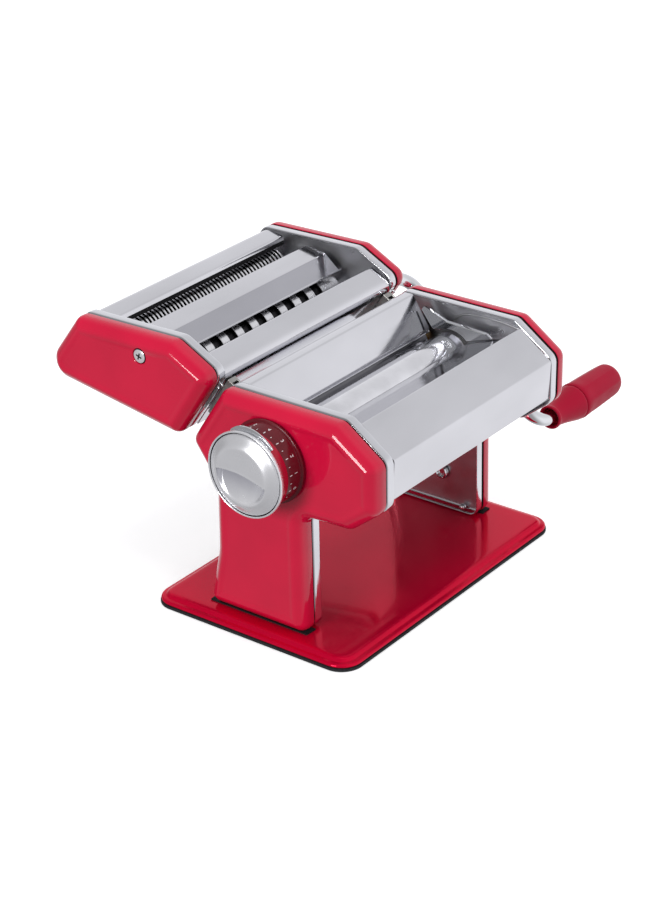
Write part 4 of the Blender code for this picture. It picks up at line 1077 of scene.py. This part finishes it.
# a light tent: bright to the right and front, dimmer to the left and behind
world = bpy.data.worlds.new("studio")
scene.world = world
world.use_nodes = True
wt = world.node_tree
bg = wt.nodes["Background"]
wc = wt.nodes.new("ShaderNodeTexCoord")
sep = wt.nodes.new("ShaderNodeSeparateXYZ")
wt.links.new(wc.outputs["Generated"], sep.inputs[0])
lift = wt.nodes.new("ShaderNodeMapRange")
for key, value in (("From Min", -1.0), ("From Max", 1.0), ("To Min", 0.0), ("To Max", 1.0)):
    lift.inputs[key].default_value = value
wt.links.new(sep.outputs["Z"], lift.inputs["Value"])
ramp = wt.nodes.new("ShaderNodeValToRGB")
wt.links.new(lift.outputs["Result"], ramp.inputs["Fac"])
els = ramp.color_ramp.elements
els[0].position, els[0].color = 0.0, (0.70, 0.70, 0.72, 1)
els[1].position, els[1].color = 1.0, (0.80, 0.80, 0.82, 1)
for pos, val in ((0.25, 1.0), (0.50, 1.02), (0.64, 0.98), (0.80, 0.80), (0.90, 0.74)):
    e = els.new(pos)
    e.color = (val, val, val * 1.03, 1)
cur = ramp.outputs["Color"]


def patch(direction, lo, hi, at_lo, at_hi):
    """Multiply the sky by a factor going from at_lo to at_hi as the cosine to
    a direction goes from lo to hi."""
    global cur
    dot = wt.nodes.new("ShaderNodeVectorMath")
    dot.operation = "DOT_PRODUCT"
    dot.inputs[1].default_value = Vector(direction).normalized()
    wt.links.new(wc.outputs["Generated"], dot.inputs[0])
    mr = wt.nodes.new("ShaderNodeMapRange")
    mr.interpolation_type = "SMOOTHSTEP"
    mr.inputs["From Min"].default_value = lo
    mr.inputs["From Max"].default_value = hi
    mr.inputs["To Min"].default_value = at_lo
    mr.inputs["To Max"].default_value = at_hi
    wt.links.new(dot.outputs["Value"], mr.inputs["Value"])
    mul = wt.nodes.new("ShaderNodeVectorMath")
    mul.operation = "SCALE"
    wt.links.new(cur, mul.inputs[0])
    wt.links.new(mr.outputs["Result"], mul.inputs["Scale"])
    cur = mul.outputs["Vector"]


patch((0.85, -0.35, 0.10), -0.55, 0.35, 0.36, 1.0)      # the tent's dim side
patch((0.05, 1.0, 0.10), 0.86, 0.97, 1.0, 0.40)         # dark card behind
wt.links.new(cur, bg.inputs["Color"])
bg.inputs["Strength"].default_value = 0.95


def area(name, where, size, power, target=(0.0, 0.03, 0.08), size_y=None):
    li = bpy.data.lights.new(name, "AREA")
    li.shape = "RECTANGLE"
    li.size = size
    li.size_y = size_y or size
    li.energy = power
    ob = bpy.data.objects.new(name, li)
    scene.collection.objects.link(ob)
    ob.location = where
    ob.rotation_euler = (Vector(target) - Vector(where)).to_track_quat("-Z", "Y").to_euler()
    ob.visible_glossy = False
    return ob


key = area("key", (-1.95, 0.10, 0.62), 0.75, 25.0)
key.visible_glossy = True
area("top", (0.0, -0.25, 2.0), 1.3, 13.0)

cam_data = bpy.data.cameras.new("camera")
cam = bpy.data.objects.new("camera", cam_data)
scene.collection.objects.link(cam)
right = Vector((0.602794, -0.797636, -0.020385))
up = Vector((0.366601, 0.254177, 0.894985))
forward = Vector((0.708691, 0.546965, -0.445631))
loc = Vector((-0.948044, -0.713247, 0.663975))
cam.matrix_world = Matrix(((right.x, up.x, -forward.x, loc.x), (right.y, up.y, -forward.y, loc.y),
                           (right.z, up.z, -forward.z, loc.z), (0, 0, 0, 1)))
cam_data.lens = 94.51
cam_data.sensor_width = 36.0
cam_data.clip_start = 0.05
cam_data.clip_end = 30.0
scene.camera = cam
scene.view_settings.view_transform = "Standard"

bpy.context.view_layer.update()
